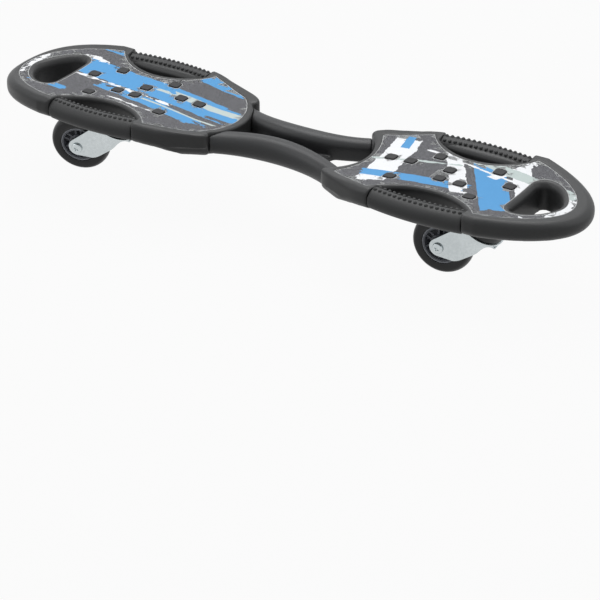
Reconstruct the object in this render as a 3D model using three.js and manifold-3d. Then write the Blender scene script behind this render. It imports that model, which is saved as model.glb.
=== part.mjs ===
// Caster board: two foot decks joined by a springy twin-arm link, with one inclined swivel caster under
// each deck. Millimetres. +X is the way it rolls, +Y its left side, +Z up, and the floor is at z = 0.
import * as THREE from 'three';
import { mergeVertices } from 'three/addons/utils/BufferGeometryUtils.js';
import Module from 'manifold-3d';

const wasm = await Module();
wasm.setup();

// Driving sizes of the whole board
const footHeight = 129.5; // floor to the foot surface at the middle of a deck
const noseReach = 420; // board centre to the tip of either nose
const deckShoulderHalf = 99; // middle line to the side of a deck's shoulders
const fitGap = 0.3; // between pieces that touch
const overrun = 40; // how far a cutting tool runs past what it cuts
const overlap = 1; // how far joined forms run into each other

// Foot surface of the front deck and the grip tape that covers it
const footMiddle = 235;
const dishRise = 6.2; // side edges of the foot surface above its middle
const innerDrop = 5; // fall of the foot surface towards the board's centre
const tapeThickness = 0.8;
const facetShare = 0.025; // of the tape's thickness, the most that merging needless facets shifts a surface
const tapeNose = 398;
const tapeNoseHandle = 38;
const tapeCheek = 352;
const tapeCheekHalf = 68;
const tapeShoulderOuter = 309;
const tapeShoulderInner = 163.5;
const tapeMargin = 15; // between the tape's side and the deck's, at the shoulders
const tapeWaistDepth = 39; // how far each side curves in between its shoulders
const tapeCorner = 103;
const tapeCornerHalf = 60;
const tapeEnd = 122;

// Deck moulding
const deckThickness = 31;
const heelDrop = 5; // further fall of the underside towards the link's sockets
const rimRise = 0.8; // plastic rim above the tape
const deckNoseHandle = 46;
const deckCheek = 372;
const deckCheekHalf = 78;
const deckShoulderOuter = 318;
const deckShoulderInner = 162;
const deckShoulderSweep = 22; // length of the soft turn from a shoulder into the tapering side
const deckCorner = 105;
const deckCornerHalf = 76;
const deckCornerTip = 78;
const deckCornerTipHalf = 64.5;
const deckEndCorner = 92;
const deckEndCornerHalf = 53;
const deckEnd = 118;
const sideWall = 6.5; // plastic between the tape and each side opening
const shoulderRound = 8;
const flankRound = 13;
const cornerRound = 5;
const endRound = 4;
const roundHeightShare = 0.78;
const undersideRoundShare = 1.4; // rounding of the lower edges, of that of the upper ones
const panelThickness = 4.5;
const skirtWall = 8; // border of the deck around its hollow underside
const ribThickness = 3;
const ribPitch = 40;
const ribStart = 150;
const ribOffset = 27; // long ribs from the middle line
const ribRecess = 6; // ribs end this far above the deck's bottom
const ribCount = 5;

// Carry hole in each nose
const holeOuter = 386.5;
const holeNoseHandle = 18;
const holeCheek = 366;
const holeWidest = 343;
const holeHalf = 49.5;
const holeCornerHandle = 9;
const holeInner = 327;
const holeFlatHalf = 31;
const holeFlatHandle = 11;
const holeLip = 1.4;
const holeLipRise = 0.5;
const holeThroat = 7; // how far the hole narrows on its way down
const holeFlareDepth = 12;
const holeWall = 4;

// Raised foot pads that stand through the tape; their places are counts of the pad pitches
const padLength = 14.4;
const padWidth = 13.4;
const padRise = 1.7;
const padChamfer = 0.8;
const padCornerCut = 3;
const padClearance = 0.7;
const padStart = 142.5;
const padPitchAlong = 27.4;
const padPitchAcross = 12.9;
const padPlaces = [[0, 1], [1, 1], [1, -3], [2, 3], [3, 1], [3, -1], [4, -1], [5, -3], [5, 3], [6, 1]];

// Side bars with their soft sleeves
const coreRadius = 10;
const sleeveRadius = 13.5;
const barFaceInner = 174.5;
const barFaceOuter = 298.5;
const barInset = 14.5; // bar's ends, in from the side of the shoulders
const barBow = 5.8;
const barDrop = 8.5; // bar centre below the foot surface at the middle of a deck
const barAnchor = 14; // bar running on into each shoulder
const nubRadius = 2.5;
const nubTopRadius = 1.8;
const nubHeight = 2.4;
const nubPitch = 7.2;
const nubCount = 17;
const nubRowAngles = [10, -32]; // degrees outward from straight up

// Springy link: two bowed arms joined by a short web
const armDrop = 19.5; // arm centre below the foot surface at the middle of a deck
const armWidth = 27;
const armHeight = 31;
const armPinchHalf = 23.2;
const armSeat = 94; // where an arm meets its deck
const armSeatHalf = 47;
const tenonWidth = 18;
const tenonHeight = 16;
const tenonLength = 38;
const collarWall = 1.4;
const collarLength = 54;
const socketInset = 14; // square socket block starts this far behind the collar's mouth
const webHalfLength = 72;
const webThickness = 17;
const webHollow = 12; // how far each end of the web curves in
const linkBoltRadius = 3;
const linkBoltHeadRadius = 5.2;
const linkBoltHeadHeight = 4;
const linkBoltDepth = 12; // shank inside the tenon
const linkBoltInset = 10;
const linkBoltPitch = 18;

// Caster mounting
const casterStation = 273; // board's centre to each caster's place
const casterLead = 6; // both casters sit this much forward of that place
const casterTilt = 30; // degrees; the lower end of the kingpin trails
const frontTurn = 5; // degrees that each caster is swivelled as the board stands
const rearTurn = 18;
const bossRadius = 30;
const plateRadius = 31.5;
const plateThickness = 3;
const skirtRadius = 20.5;
const skirtThickness = 1.5;
const skirtDepth = 3.6;
const plateScrewCount = 4;
const plateScrewCircle = 24;
const plateScrewRadius = 2.2;
const plateScrewHeadRadius = 3.4;
const plateScrewSink = 1.6;
const plateScrewLength = 14;
const ballCount = 12;
const ballRadius = 2.5;
const ballCircle = 14;
const retainerWidth = 3.6;
const retainerThickness = 1;
const raceGap = 0.2;
const kingpinRadius = 5;
const kingpinHeadRadius = 9;
const kingpinHeadHeight = 4;
const kingpinEnd = 2; // thread showing past the nut
const kingpinNutRadius = 9.5;
const kingpinNutHeight = 8;
const nutRecessRadius = 11;
const nutRecessRoom = 2;

// Fork, in the swivelling frame: forward of the axle and up from it
const sheetThickness = 2.5;
const forkInnerHalf = 15.5;
const axleTrail = 26.5; // kingpin axis to axle
const axleDepth = 56; // mounting face to axle, along the kingpin
const legEndRadius = 12;
const legKneeForward = 28;
const legKneeDrop = 0.5;
const legShinForward = 42;
const legShinRise = 25;
const crownFront = 30;
const lipThroat = 3; // how far the hollow under the crown's front lip leans forward
const crownRear = 19;
const legBend = 12; // degrees that the front panel of each leg turns in
const legBendTop = 11.4;
const legBendFoot = 23.9;

// Wheel
const wheelRadius = 40;
const wheelWidth = 24;
const wheelSides = 24;
const boreSides = 12; // facets round the axle and everything on it
const treadDepth = 7; // rounded part of the tyre's section
const treadSteps = 6;
const tyreBeadHalf = 11;
const hubRadius = 25;
const hubWidth = 21;
const hubRim = 3.7;
const hubBossRadius = 14;
const hubShoulderRadius = 9;
const spokeCount = 6;
const spokeRib = 2.6;
const spokeSpread = 3.6; // each spoke is two ribs, this far either side of its middle
const spokeWidth = 16;
const bearingRadius = 11;
const bearingBore = 4;
const bearingWidth = 7;
const axleRadius = 3.7;
const axleHeadRadius = 7.2;
const axleHeadHeight = 3.6;
const axleNutRadius = 7.5;
const axleNutHeight = 6.5;
const axleEnd = 1.5;
const spacerRadius = 5.6;

const tapeShoulderHalf = deckShoulderHalf - tapeMargin;
const facetTolerance = facetShare * tapeThickness;
const degrees = Math.PI / 180;
const point = (x, y) => new THREE.Vector2(x, y);
const place = (x, y, z) => new THREE.Vector3(x, y, z);
const times = (count, make) => Array.from({ length: count }, (_, i) => make(i));

// How much of its fall towards the board's centre a surface of the front deck has had at a place
function fallen(x) {
  const inward = Math.min(1, Math.max(0, (footMiddle - x) / (footMiddle - tapeEnd)));
  return inward * inward;
}

// Height of the front deck's foot surface, which dishes across and falls towards the board's centre
function footSurface(x, y) {
  const across = y / tapeShoulderHalf;
  return footHeight + dishRise * across * across - innerDrop * fallen(x);
}
const raised = (height) => (x, y) => footSurface(x, y) + height;
const deckTop = raised(rimRise);
const deckBottom = (x, y) => deckTop(x, y) - deckThickness - heelDrop * fallen(x);
const pocketFloor = raised(-tapeThickness - fitGap);

// Whole outline from the half with y at or above zero, which runs from nose to inner end
function bothHalves(half) {
  const inner = half.slice(1, -1);
  const far = inner.map((p) => point(p.x, -p.y)).reverse();
  return [half[0], ...inner, half[half.length - 1], ...far];
}

// Radius of the arc over a chord of the given half length with the given rise
const arcRadius = (half, rise) => (half * half + rise * rise) / (2 * rise);

// Concave inner end, as on the tape and on the deck: from a corner to the middle line
function endCurve(corner, cornerHalf, end, steps) {
  const radius = arcRadius(cornerHalf, end - corner);
  const angle = Math.asin(cornerHalf / radius);
  return times(steps + 1, (i) => {
    const turn = angle * (1 - i / steps);
    return point(end - radius * (1 - Math.cos(turn)), radius * Math.sin(turn));
  });
}

// The curve that draws in each side of the tape, or one set back from it, between two stations
const waistMiddle = (tapeShoulderOuter + tapeShoulderInner) / 2;
const waistRadius = arcRadius((tapeShoulderOuter - tapeShoulderInner) / 2, tapeWaistDepth);
const waistCentreHalf = tapeShoulderHalf - tapeWaistDepth + waistRadius;

function waistCurve(setBack, from, to, steps) {
  const radius = waistRadius - setBack;
  const start = Math.asin((from - waistMiddle) / radius);
  const end = Math.asin((to - waistMiddle) / radius);
  return times(steps + 1, (i) => {
    const turn = start + (end - start) * i / steps;
    return point(waistMiddle + radius * Math.sin(turn), waistCentreHalf - radius * Math.cos(turn));
  });
}

const tapeOutline = (() => {
  const nose = new THREE.CubicBezierCurve(
    point(tapeNose, 0),
    point(tapeNose, tapeNoseHandle),
    point(tapeCheek, tapeCheekHalf),
    point(tapeShoulderOuter, tapeShoulderHalf),
  );
  return bothHalves([
    ...nose.getPoints(7).slice(0, -1),
    ...waistCurve(0, tapeShoulderOuter, tapeShoulderInner, 10),
    ...endCurve(tapeCorner, tapeCornerHalf, tapeEnd, 4),
  ]);
})();

// Left half of the deck's outline with its sides closed, and how far the edge rounding reaches in
const deckHalf = (() => {
  const nose = new THREE.CubicBezierCurve(
    point(noseReach, 0),
    point(noseReach, deckNoseHandle),
    point(deckCheek, deckCheekHalf),
    point(deckShoulderOuter, deckShoulderHalf),
  );
  const shoulder = point(deckShoulderInner, deckShoulderHalf);
  const taper = point(deckCorner, deckCornerHalf).sub(shoulder).setLength(deckShoulderSweep);
  const sweepIn = new THREE.QuadraticBezierCurve(
    point(deckShoulderInner + deckShoulderSweep, deckShoulderHalf),
    shoulder,
    shoulder.clone().add(taper),
  );
  const corner = new THREE.QuadraticBezierCurve(
    point(deckCorner, deckCornerHalf),
    point(deckCornerTip, deckCornerTipHalf),
    point(deckEndCorner, deckEndCornerHalf),
  );
  const reaching = (points, reach) => points.map((p) => ({ p, reach }));
  return [
    ...reaching([...nose.getPoints(7), ...sweepIn.getPoints(3)], flankRound),
    ...reaching(corner.getPoints(3), cornerRound),
    ...reaching(endCurve(deckEndCorner, deckEndCornerHalf, deckEnd, 4).slice(1), endRound),
  ];
})();
const deckOutline = bothHalves(deckHalf.map(({ p }) => p));
const deckReaches = (() => {
  const half = deckHalf.map(({ reach }) => reach);
  return [...half, ...half.slice(1, -1).reverse()];
})();

const holeOutline = (() => {
  const half = new THREE.Path();
  half.moveTo(holeOuter, 0);
  half.bezierCurveTo(holeOuter, holeNoseHandle, holeCheek, holeHalf, holeWidest, holeHalf);
  half.bezierCurveTo(
    holeWidest - holeCornerHandle, holeHalf,
    holeInner, holeFlatHalf + holeFlatHandle,
    holeInner, holeFlatHalf,
  );
  half.lineTo(holeInner, 0);
  return bothHalves(half.getPoints(4));
})();

// Directions out of a counter-clockwise outline at its points, scaled to keep a set-off wall even
function outwards(outline) {
  const count = outline.length;
  return outline.map((p, i) => {
    const before = p.clone().sub(outline[(i + count - 1) % count]).normalize();
    const after = outline[(i + 1) % count].clone().sub(p).normalize();
    const along = before.clone().add(after).normalize();
    return point(along.y, -along.x).divideScalar(Math.max(Math.SQRT1_2, along.dot(after)));
  });
}

function grown(outline, distance) {
  const out = outwards(outline);
  return outline.map((p, i) => p.clone().addScaledVector(out[i], distance));
}

// Closed solid through rings of points, lowest first
function stack(rings) {
  const count = rings[0].length;
  const last = (rings.length - 1) * count;
  const index = [];
  for (let low = 0; low < last; low += count) {
    for (let i = 0; i < count; i += 1) {
      const next = (i + 1) % count;
      index.push(low + i, low + next, low + count + next);
      index.push(low + i, low + count + next, low + count + i);
    }
  }
  const cap = (ring) => THREE.ShapeUtils.triangulateShape(ring.map((p) => point(p.x, p.y)), []);
  cap(rings[0]).forEach(([a, b, c]) => index.push(a, c, b));
  cap(rings[rings.length - 1]).forEach(([a, b, c]) => index.push(last + a, last + b, last + c));
  const geometry = new THREE.BufferGeometry();
  const positions = rings.flat().flatMap((p) => p.toArray());
  geometry.setAttribute('position', new THREE.Float32BufferAttribute(positions, 3));
  geometry.setIndex(index);
  return geometry;
}

// Deck's rounded edges as one tall solid that runs on past both of its faces
function roundedEnvelope(steps) {
  const out = outwards(deckOutline);
  const level = (turn, face, roundShare, lift) => deckOutline.map((p, i) => {
    const inset = deckReaches[i] * Math.abs(roundShare) * (1 - Math.sin(turn));
    const rise = deckReaches[i] * roundShare * roundHeightShare * (1 - Math.cos(turn));
    return place(p.x - out[i].x * inset, p.y - out[i].y * inset, face(p.x, p.y) + rise + lift);
  });
  const turns = times(steps + 1, (i) => i / steps * Math.PI / 2);
  const below = (turn, lift) => level(turn, deckBottom, undersideRoundShare, lift);
  const above = (turn, lift) => level(turn, deckTop, -1, lift);
  return stack([
    below(0, -overrun),
    ...turns.map((turn) => below(turn, 0)),
    ...turns.map((turn) => above(turn, 0)).reverse(),
    above(0, overrun),
  ]);
}

// Straight-sided prism between two levels
function prism(outline, low, high) {
  const shape = new THREE.Shape(outline);
  return new THREE.ExtrudeGeometry(shape, { depth: high - low, bevelEnabled: false }).translate(0, 0, low);
}
const throughDeck = (outline) => prism(outline, footHeight - deckThickness - overrun, footHeight + overrun);

// Block over the whole deck whose bottom and top follow two surfaces
function field(bottom, top) {
  const start = deckCornerTip - armHeight;
  const length = noseReach + overlap - start;
  const geometry = new THREE.BoxGeometry(length, 2 * (deckShoulderHalf + overlap), 1, 7, 4, 1);
  geometry.translate(start + length / 2, 0, 0);
  const position = geometry.attributes.position;
  for (let i = 0; i < position.count; i += 1) {
    const face = position.getZ(i) > 0 ? top : bottom;
    position.setZ(i, face(position.getX(i), position.getY(i)));
  }
  return geometry;
}
const layer = (low, high) => field(() => footHeight + low, () => footHeight + high);

// Round forms about Z between two levels
function cone(lowRadius, highRadius, low, high, sides = 16) {
  const geometry = new THREE.CylinderGeometry(highRadius, lowRadius, high - low, sides);
  return geometry.rotateX(Math.PI / 2).translate(0, 0, (low + high) / 2);
}
const disc = (radius, low, high, sides = 16) => cone(radius, radius, low, high, sides);

// Round forms about Y
const rod = (radius, from, to, sides = 16) => disc(radius, -to, -from, sides).rotateX(Math.PI / 2);
const turned = (profile, sides = 16) => new THREE.LatheGeometry(profile.map(([r, y]) => point(r, y)), sides);
const ring = (inner, outer, from, to, sides = 16) => turned(
  [[inner, from], [outer, from], [outer, to], [inner, to], [inner, from]], sides,
);
const upright = (geometry) => geometry.rotateX(Math.PI / 2);

// Level arc bowed along +Y, or along -Y where the bow is negative
class ArcPath extends THREE.Curve {
  constructor(middle, radius, halfAngle, bow) {
    super();
    Object.assign(this, { middle, radius, halfAngle, bow });
  }

  getPoint(t, target = place(0, 0, 0)) {
    const angle = this.halfAngle * (2 * t - 1);
    const fall = this.radius * (1 - Math.cos(angle));
    return target.set(
      this.middle.x + this.radius * Math.sin(angle), this.middle.y - this.bow * fall, this.middle.z,
    );
  }
}

// Section of a swept bar from half its height and half its width
const oval = (halfHeight, halfWidth, sides) => times(sides, (i) => {
  const angle = 2 * Math.PI * i / sides;
  return point(halfHeight * Math.cos(angle), halfWidth * Math.sin(angle));
});

function sweep(section, path, steps, bore) {
  const shape = new THREE.Shape(section);
  if (bore) shape.holes.push(new THREE.Path(bore));
  return new THREE.ExtrudeGeometry(shape, { steps, extrudePath: path, bevelEnabled: false });
}

// Positions and faces alone, with shared corners merged and collapsed faces left out
function bare(geometry) {
  const plain = geometry.clone();
  plain.deleteAttribute('normal');
  plain.deleteAttribute('uv');
  const merged = mergeVertices(plain);
  const corners = Array.from(merged.index.array);
  const faces = times(corners.length / 3, (i) => corners.slice(3 * i, 3 * i + 3));
  merged.setIndex(faces.filter(([a, b, c]) => a !== b && b !== c && c !== a).flat());
  return merged;
}

// Mirror image in X, in Y or in both, told by the signs
function mirrored(geometry, xSign, ySign) {
  const image = bare(geometry).scale(xSign, ySign, 1);
  const index = image.index.array;
  for (let i = 0; i < index.length; i += 3) {
    [index[i], index[i + 1]] = [index[i + 1], index[i]];
  }
  return image;
}

// Solids for joining and cutting, and the way back
function solid(geometry) {
  const plain = bare(geometry);
  const vertProperties = new Float32Array(plain.attributes.position.array);
  const triVerts = new Uint32Array(plain.index.array);
  return new wasm.Manifold(new wasm.Mesh({ numProp: 3, vertProperties, triVerts }));
}

const joined = (geometries) => geometries.map(solid).reduce((sum, next) => sum.add(next));
const cutBy = (body, geometries) => geometries.reduce((rest, tool) => rest.subtract(solid(tool)), body);

function geometryOf(body) {
  const { vertProperties, triVerts } = body.asOriginal().simplify(facetTolerance).getMesh();
  const geometry = new THREE.BufferGeometry();
  geometry.setAttribute('position', new THREE.BufferAttribute(new Float32Array(vertProperties), 3));
  geometry.setIndex(new THREE.BufferAttribute(new Uint32Array(triVerts), 1));
  return geometry;
}

const finish = (color, roughness, metalness = 0) => ({ color, roughness, metalness });
const deckPlastic = finish(0x2b2c2e, 0.55);
const linkPlastic = finish(0x2d2e30, 0.6);
const gripTape = finish(0x5d6066, 0.95);
const softGrip = finish(0x2f3032, 0.75);
const zincSteel = finish(0xbfc7c8, 0.35, 1);
const ballSteel = finish(0xd0d0d0, 0.15, 1);
const hubPlastic = finish(0x85898f, 0.5);
const tyreRubber = finish(0x1b1b1d, 0.6);

function add(parent, name, geometry, look) {
  const shown = bare(geometry);
  shown.computeVertexNormals();
  const mesh = new THREE.Mesh(shown, new THREE.MeshStandardMaterial(look));
  mesh.name = name;
  parent.add(mesh);
}

// Side bar on the left of the front deck: its path, its swept forms and the room between its faces
const barHeight = footHeight - barDrop;
const barHalfLength = (barFaceOuter - barFaceInner) / 2;
const barMiddle = place(
  barFaceInner + barHalfLength, deckShoulderHalf - barInset + barBow, barHeight,
);
const barRadius = arcRadius(barHalfLength, barBow);
const barPath = new ArcPath(barMiddle, barRadius, Math.asin((barHalfLength + barAnchor) / barRadius), 1);
const barSweep = (radius, sides, bore) => sweep(oval(radius, radius, sides), barPath, 6, bore);

function betweenFaces(geometry, gap) {
  const room = new THREE.BoxGeometry(2 * (barHalfLength - gap), 4 * sleeveRadius, 4 * sleeveRadius);
  return solid(geometry).intersect(solid(room.translate(barMiddle.x, barMiddle.y, barHeight)));
}

function sideGrip() {
  const bore = oval(coreRadius + fitGap, coreRadius + fitGap, 8);
  const nubs = nubRowAngles.flatMap((row) => times(nubCount, (i) => {
    const turn = (i - (nubCount - 1) / 2) * nubPitch / barRadius;
    const lean = row * degrees;
    const out = place(Math.sin(turn) * Math.sin(lean), Math.cos(turn) * Math.sin(lean), Math.cos(lean));
    const nub = cone(nubRadius, nubTopRadius, sleeveRadius - overlap, sleeveRadius + nubHeight, 4);
    nub.applyQuaternion(new THREE.Quaternion().setFromUnitVectors(place(0, 0, 1), out));
    const base = place(barRadius * Math.sin(turn), barRadius * (Math.cos(turn) - 1), 0).add(barMiddle);
    return nub.translate(base.x, base.y, base.z);
  }));
  return geometryOf(betweenFaces(barSweep(sleeveRadius, 12, bore), fitGap).add(joined(nubs)));
}

// How an arm of the link enters its deck: forms made along X from the arm's seat are set there
const armRadius = arcRadius(armSeat, armSeatHalf - armPinchHalf);
const armAngle = Math.asin(armSeat / armRadius);
const armLevel = footHeight - armDrop;
const alongArm = (geometry) => geometry.rotateZ(armAngle).translate(armSeat, armSeatHalf, armLevel);

function armBlock(from, to, width, height) {
  return alongArm(new THREE.BoxGeometry(to - from, width, height).translate((from + to) / 2, 0, 0));
}

function armCollar() {
  const collar = new THREE.CylinderGeometry(1, 1, collarLength, 12).rotateZ(Math.PI / 2);
  collar.scale(1, armWidth / 2 + collarWall, armHeight / 2 + collarWall);
  return alongArm(collar.translate(fitGap + collarLength / 2, 0, 0));
}

const linkBoltStations = [linkBoltInset, linkBoltInset + linkBoltPitch];

// Link bolt about Z, its head at the socket's underside, or the hole for it where room is given
function linkBolt(room) {
  const underside = -armHeight / 2 - collarWall;
  const seat = underside + linkBoltHeadHeight + room;
  const mouth = room ? seat - overrun : underside;
  return [
    disc(linkBoltHeadRadius + room, mouth, seat, 10),
    disc(linkBoltRadius + room, seat - overlap, linkBoltDepth - tenonHeight / 2 + room, 8),
  ];
}

const linkBoltHoles = () => linkBoltStations.flatMap(
  (station) => linkBolt(fitGap).map((form) => alongArm(form.translate(station, 0, 0))),
);

// Forms made on the left with their mirror images on the right, and a front form's image at the rear
const bothSides = (forms) => [...forms, ...forms.map((form) => mirrored(form, 1, -1))];
const rearward = (geometry) => mirrored(geometry, -1, 1);

// Caster frame: its origin is the middle of the mounting face and its Z runs up the kingpin
const tilt = casterTilt * degrees;
const raceLevel = fitGap + plateThickness + raceGap + ballRadius;
const crownTop = raceLevel + ballRadius + raceGap;

// Rounded running face of the tyre: radius and place across the wheel
const tread = times(treadSteps + 1, (i) => {
  const angle = Math.PI * (i / treadSteps - 1 / 2);
  return [wheelRadius - treadDepth * (1 - Math.cos(angle)), wheelWidth / 2 * Math.sin(angle)];
});

// Height of the axle over the floor where the swivelled caster leans its wheel
function axleHeight(turn) {
  const lean = Math.asin(Math.sin(turn * degrees) * Math.sin(tilt));
  return Math.max(...tread.map(([radius, across]) => radius * Math.cos(lean) + across * Math.sin(lean)));
}

// Height of the mounting faces, which stands the lower of the two wheels on the floor
const faceHeight = Math.max(...[frontTurn, rearTurn].map((turn) => (
  axleHeight(turn) + axleDepth * Math.cos(tilt) - axleTrail * Math.cos(turn * degrees) * Math.sin(tilt)
)));

const plateScrewPlaces = times(plateScrewCount, (i) => {
  const angle = 2 * Math.PI * (i + 1 / 2) / plateScrewCount;
  return point(plateScrewCircle * Math.cos(angle), plateScrewCircle * Math.sin(angle));
});

// Opening between the deck's side and its bar, with soft corners on the shoulders
function sideOpening() {
  const shoulder = (face, away) => new THREE.QuadraticBezierCurve(
    point(face, deckShoulderHalf - shoulderRound),
    point(face, deckShoulderHalf),
    point(face + away * shoulderRound, deckShoulderHalf),
  ).getPoints(3);
  const inner = barFaceInner - fitGap;
  const outer = barFaceOuter + fitGap;
  return throughDeck([
    ...waistCurve(sideWall, inner, outer, 10),
    ...shoulder(outer, 1),
    point(outer + shoulderRound, deckShoulderHalf + overlap),
    point(inner - shoulderRound, deckShoulderHalf + overlap),
    ...shoulder(inner, -1).reverse(),
  ]);
}

// Hollow of the deck's underside, less the walls, ribs and bosses that stand in it
function undersideHollow(standing) {
  const taperShare = (deckEnd - deckCorner) / (deckShoulderInner - deckCorner);
  const taperHalf = deckCornerHalf + taperShare * (deckShoulderHalf - deckCornerHalf);
  const plan = throughDeck(grown(bothHalves([
    ...deckHalf.map(({ p }) => p).filter((p) => p.x > deckShoulderInner - deckShoulderSweep),
    point(deckEnd, taperHalf),
    point(deckEnd, 0),
  ]), -skirtWall));
  const inner = barFaceInner - skirtWall;
  const outer = barFaceOuter + skirtWall;
  const waistWall = throughDeck([
    ...waistCurve(sideWall - skirtWall, inner, outer, 6),
    point(outer, deckShoulderHalf + overlap),
    point(inner, deckShoulderHalf + overlap),
  ]);
  const holeSleeve = throughDeck(grown(holeOutline, holeWall - holeThroat));
  const ceiling = layer(-deckThickness - overrun, -innerDrop - tapeThickness - fitGap - panelThickness);
  const ribs = joined([
    ...[-ribOffset, ribOffset].map(
      (y) => new THREE.BoxGeometry(2 * noseReach, ribThickness, 2 * footHeight).translate(0, y, 0),
    ),
    ...times(ribCount, (i) => new THREE.BoxGeometry(
      ribThickness, 2 * deckShoulderHalf, 2 * footHeight,
    ).translate(ribStart + i * ribPitch, 0, 0)),
  ]).intersect(solid(layer(rimRise - deckThickness + ribRecess, overrun)));
  return cutBy(solid(plan).intersect(solid(ceiling)), [
    ...bothSides([waistWall]), holeSleeve, ...standing,
  ]).subtract(ribs);
}

// One deck, modelled as the front one, with its kingpin leaning by the given sign
function deckBody(station, leanSign) {
  const lean = (geometry) => geometry.rotateY(leanSign * tilt).translate(station, 0, faceHeight);
  const boss = lean(disc(bossRadius, 0, footHeight, 24));
  const socketBlocks = bothSides([armBlock(
    socketInset, collarLength, armWidth + 2 * collarWall, armHeight + 2 * collarWall,
  )]);
  const sleeveRoom = geometryOf(betweenFaces(barSweep(sleeveRadius + fitGap, 12), -fitGap));
  const envelope = solid(roundedEnvelope(2));
  const shell = cutBy(solid(field(deckBottom, deckTop)).intersect(envelope), [
    ...bothSides([sideOpening(), sleeveRoom]),
  ]).subtract(undersideHollow([boss, ...socketBlocks]));

  const bars = joined(bothSides([barSweep(coreRadius, 8)]));
  const bossBelow = solid(boss)
    .intersect(solid(layer(-footHeight, -innerDrop - tapeThickness - panelThickness)));
  const blocks = joined(socketBlocks).intersect(envelope);
  const pocket = solid(throughDeck(grown(tapeOutline, fitGap)))
    .intersect(solid(field(pocketFloor, raised(overrun))));
  const lip = solid(throughDeck(grown(holeOutline, holeLip)))
    .intersect(solid(field(raised(-tapeThickness - fitGap - overlap), raised(holeLipRise))));
  const body = shell.add(bars).add(bossBelow).add(blocks).add(joined(bothSides([armCollar()])))
    .subtract(pocket)
    .add(lip)
    .add(joined(padPlaces.map(([along, across]) => footPad(along, across))));

  const tenonRoom = armBlock(
    -overlap, tenonLength + fitGap, tenonWidth + 2 * fitGap, tenonHeight + 2 * fitGap,
  );
  const nutRecess = lean(disc(nutRecessRadius, -overlap, kingpinNutHeight + kingpinEnd + nutRecessRoom, 16));
  const screwHoles = plateScrewPlaces.map(({ x, y }) => lean(
    disc(plateScrewRadius + fitGap, -overlap, plateScrewLength, 8).translate(x, y, 0),
  ));
  return geometryOf(cutBy(body, [
    carryHole(), ...bothSides([tenonRoom, ...linkBoltHoles()]), nutRecess, ...screwHoles,
  ]));
}

// Funnel of the carry hole, flaring up to its lip with a quarter round
function carryHole() {
  const out = outwards(holeOutline);
  const level = (inset, height) => holeOutline.map((p, i) => place(
    p.x - out[i].x * inset,
    p.y - out[i].y * inset,
    footSurface(p.x, p.y) + height,
  ));
  const steps = 2;
  const flare = times(steps + 1, (i) => {
    const turn = i / steps * Math.PI / 2;
    return level(holeThroat * Math.cos(turn), -holeFlareDepth * (1 - Math.sin(turn)));
  });
  return stack([level(holeThroat, -deckThickness - overrun), ...flare, level(0, overrun)]);
}

const padPlace = (along, across) => point(padStart + along * padPitchAlong, across * padPitchAcross);

function padCorners(margin) {
  const length = padLength / 2 + margin;
  const width = padWidth / 2 + margin;
  const quarter = [point(length, width - padCornerCut), point(length - padCornerCut, width)];
  const half = [...quarter, ...quarter.map((p) => point(-p.x, p.y)).reverse()];
  return [...half, ...half.map((p) => point(p.x, -p.y)).reverse()];
}

// One raised pad, square to the foot surface where it stands
function footPad(along, across) {
  const { x, y } = padPlace(along, across);
  const level = (margin, height) => padCorners(margin).map((p) => place(p.x, p.y, height));
  const pad = stack([
    level(0, -tapeThickness - fitGap - overlap),
    level(0, padRise - padChamfer),
    level(-padChamfer, padRise),
  ]);
  const slopeAlong = (footSurface(x + overlap, y) - footSurface(x - overlap, y)) / (2 * overlap);
  const slopeAcross = (footSurface(x, y + overlap) - footSurface(x, y - overlap)) / (2 * overlap);
  const square = place(-slopeAlong, -slopeAcross, 1).normalize();
  pad.applyQuaternion(new THREE.Quaternion().setFromUnitVectors(place(0, 0, 1), square));
  return pad.translate(x, y, footSurface(x, y));
}

function tapeSheet() {
  const sheet = solid(throughDeck(tapeOutline)).intersect(solid(field(raised(-tapeThickness), footSurface)));
  const windows = padPlaces.map(([along, across]) => {
    const middle = padPlace(along, across);
    return throughDeck(padCorners(padClearance).map((p) => p.add(middle)));
  });
  return geometryOf(cutBy(sheet, [throughDeck(grown(holeOutline, holeLip + fitGap)), ...windows]));
}

// Countersunk screw about Z, its head level with the plate's lower face, or the hole for it
function plateScrew(room) {
  const face = -fitGap - plateThickness;
  const mouth = room ? [[0, face - overlap], [plateScrewHeadRadius + room, face - overlap]] : [[0, face]];
  const end = plateScrewLength - overlap;
  return upright(turned([
    ...mouth,
    [plateScrewHeadRadius + room, face],
    [plateScrewRadius + room, face + plateScrewSink],
    [plateScrewRadius + room, end],
    [0, end],
  ], 8));
}

function basePlate() {
  const top = -fitGap;
  const bottom = top - plateThickness;
  const skirt = upright(ring(
    skirtRadius - skirtThickness, skirtRadius, bottom - skirtDepth, bottom + overlap,
  ));
  const screwHoles = plateScrewPlaces.map(({ x, y }) => plateScrew(fitGap).translate(x, y, 0));
  return geometryOf(cutBy(joined([disc(plateRadius, bottom, top, 24), skirt]), [
    disc(kingpinRadius + fitGap, bottom - overlap, top + overlap), ...screwHoles,
  ]));
}

function kingpin() {
  const headTop = -crownTop - sheetThickness - fitGap;
  const head = disc(kingpinHeadRadius, headTop - kingpinHeadHeight, headTop, 6);
  const shank = disc(kingpinRadius, headTop - overlap, kingpinNutHeight + kingpinEnd);
  return geometryOf(joined([head, shank]));
}

function kingpinNut() {
  return geometryOf(solid(disc(kingpinNutRadius, 0, kingpinNutHeight, 6))
    .subtract(solid(disc(kingpinRadius + fitGap, -overlap, kingpinNutHeight + overlap))));
}

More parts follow.
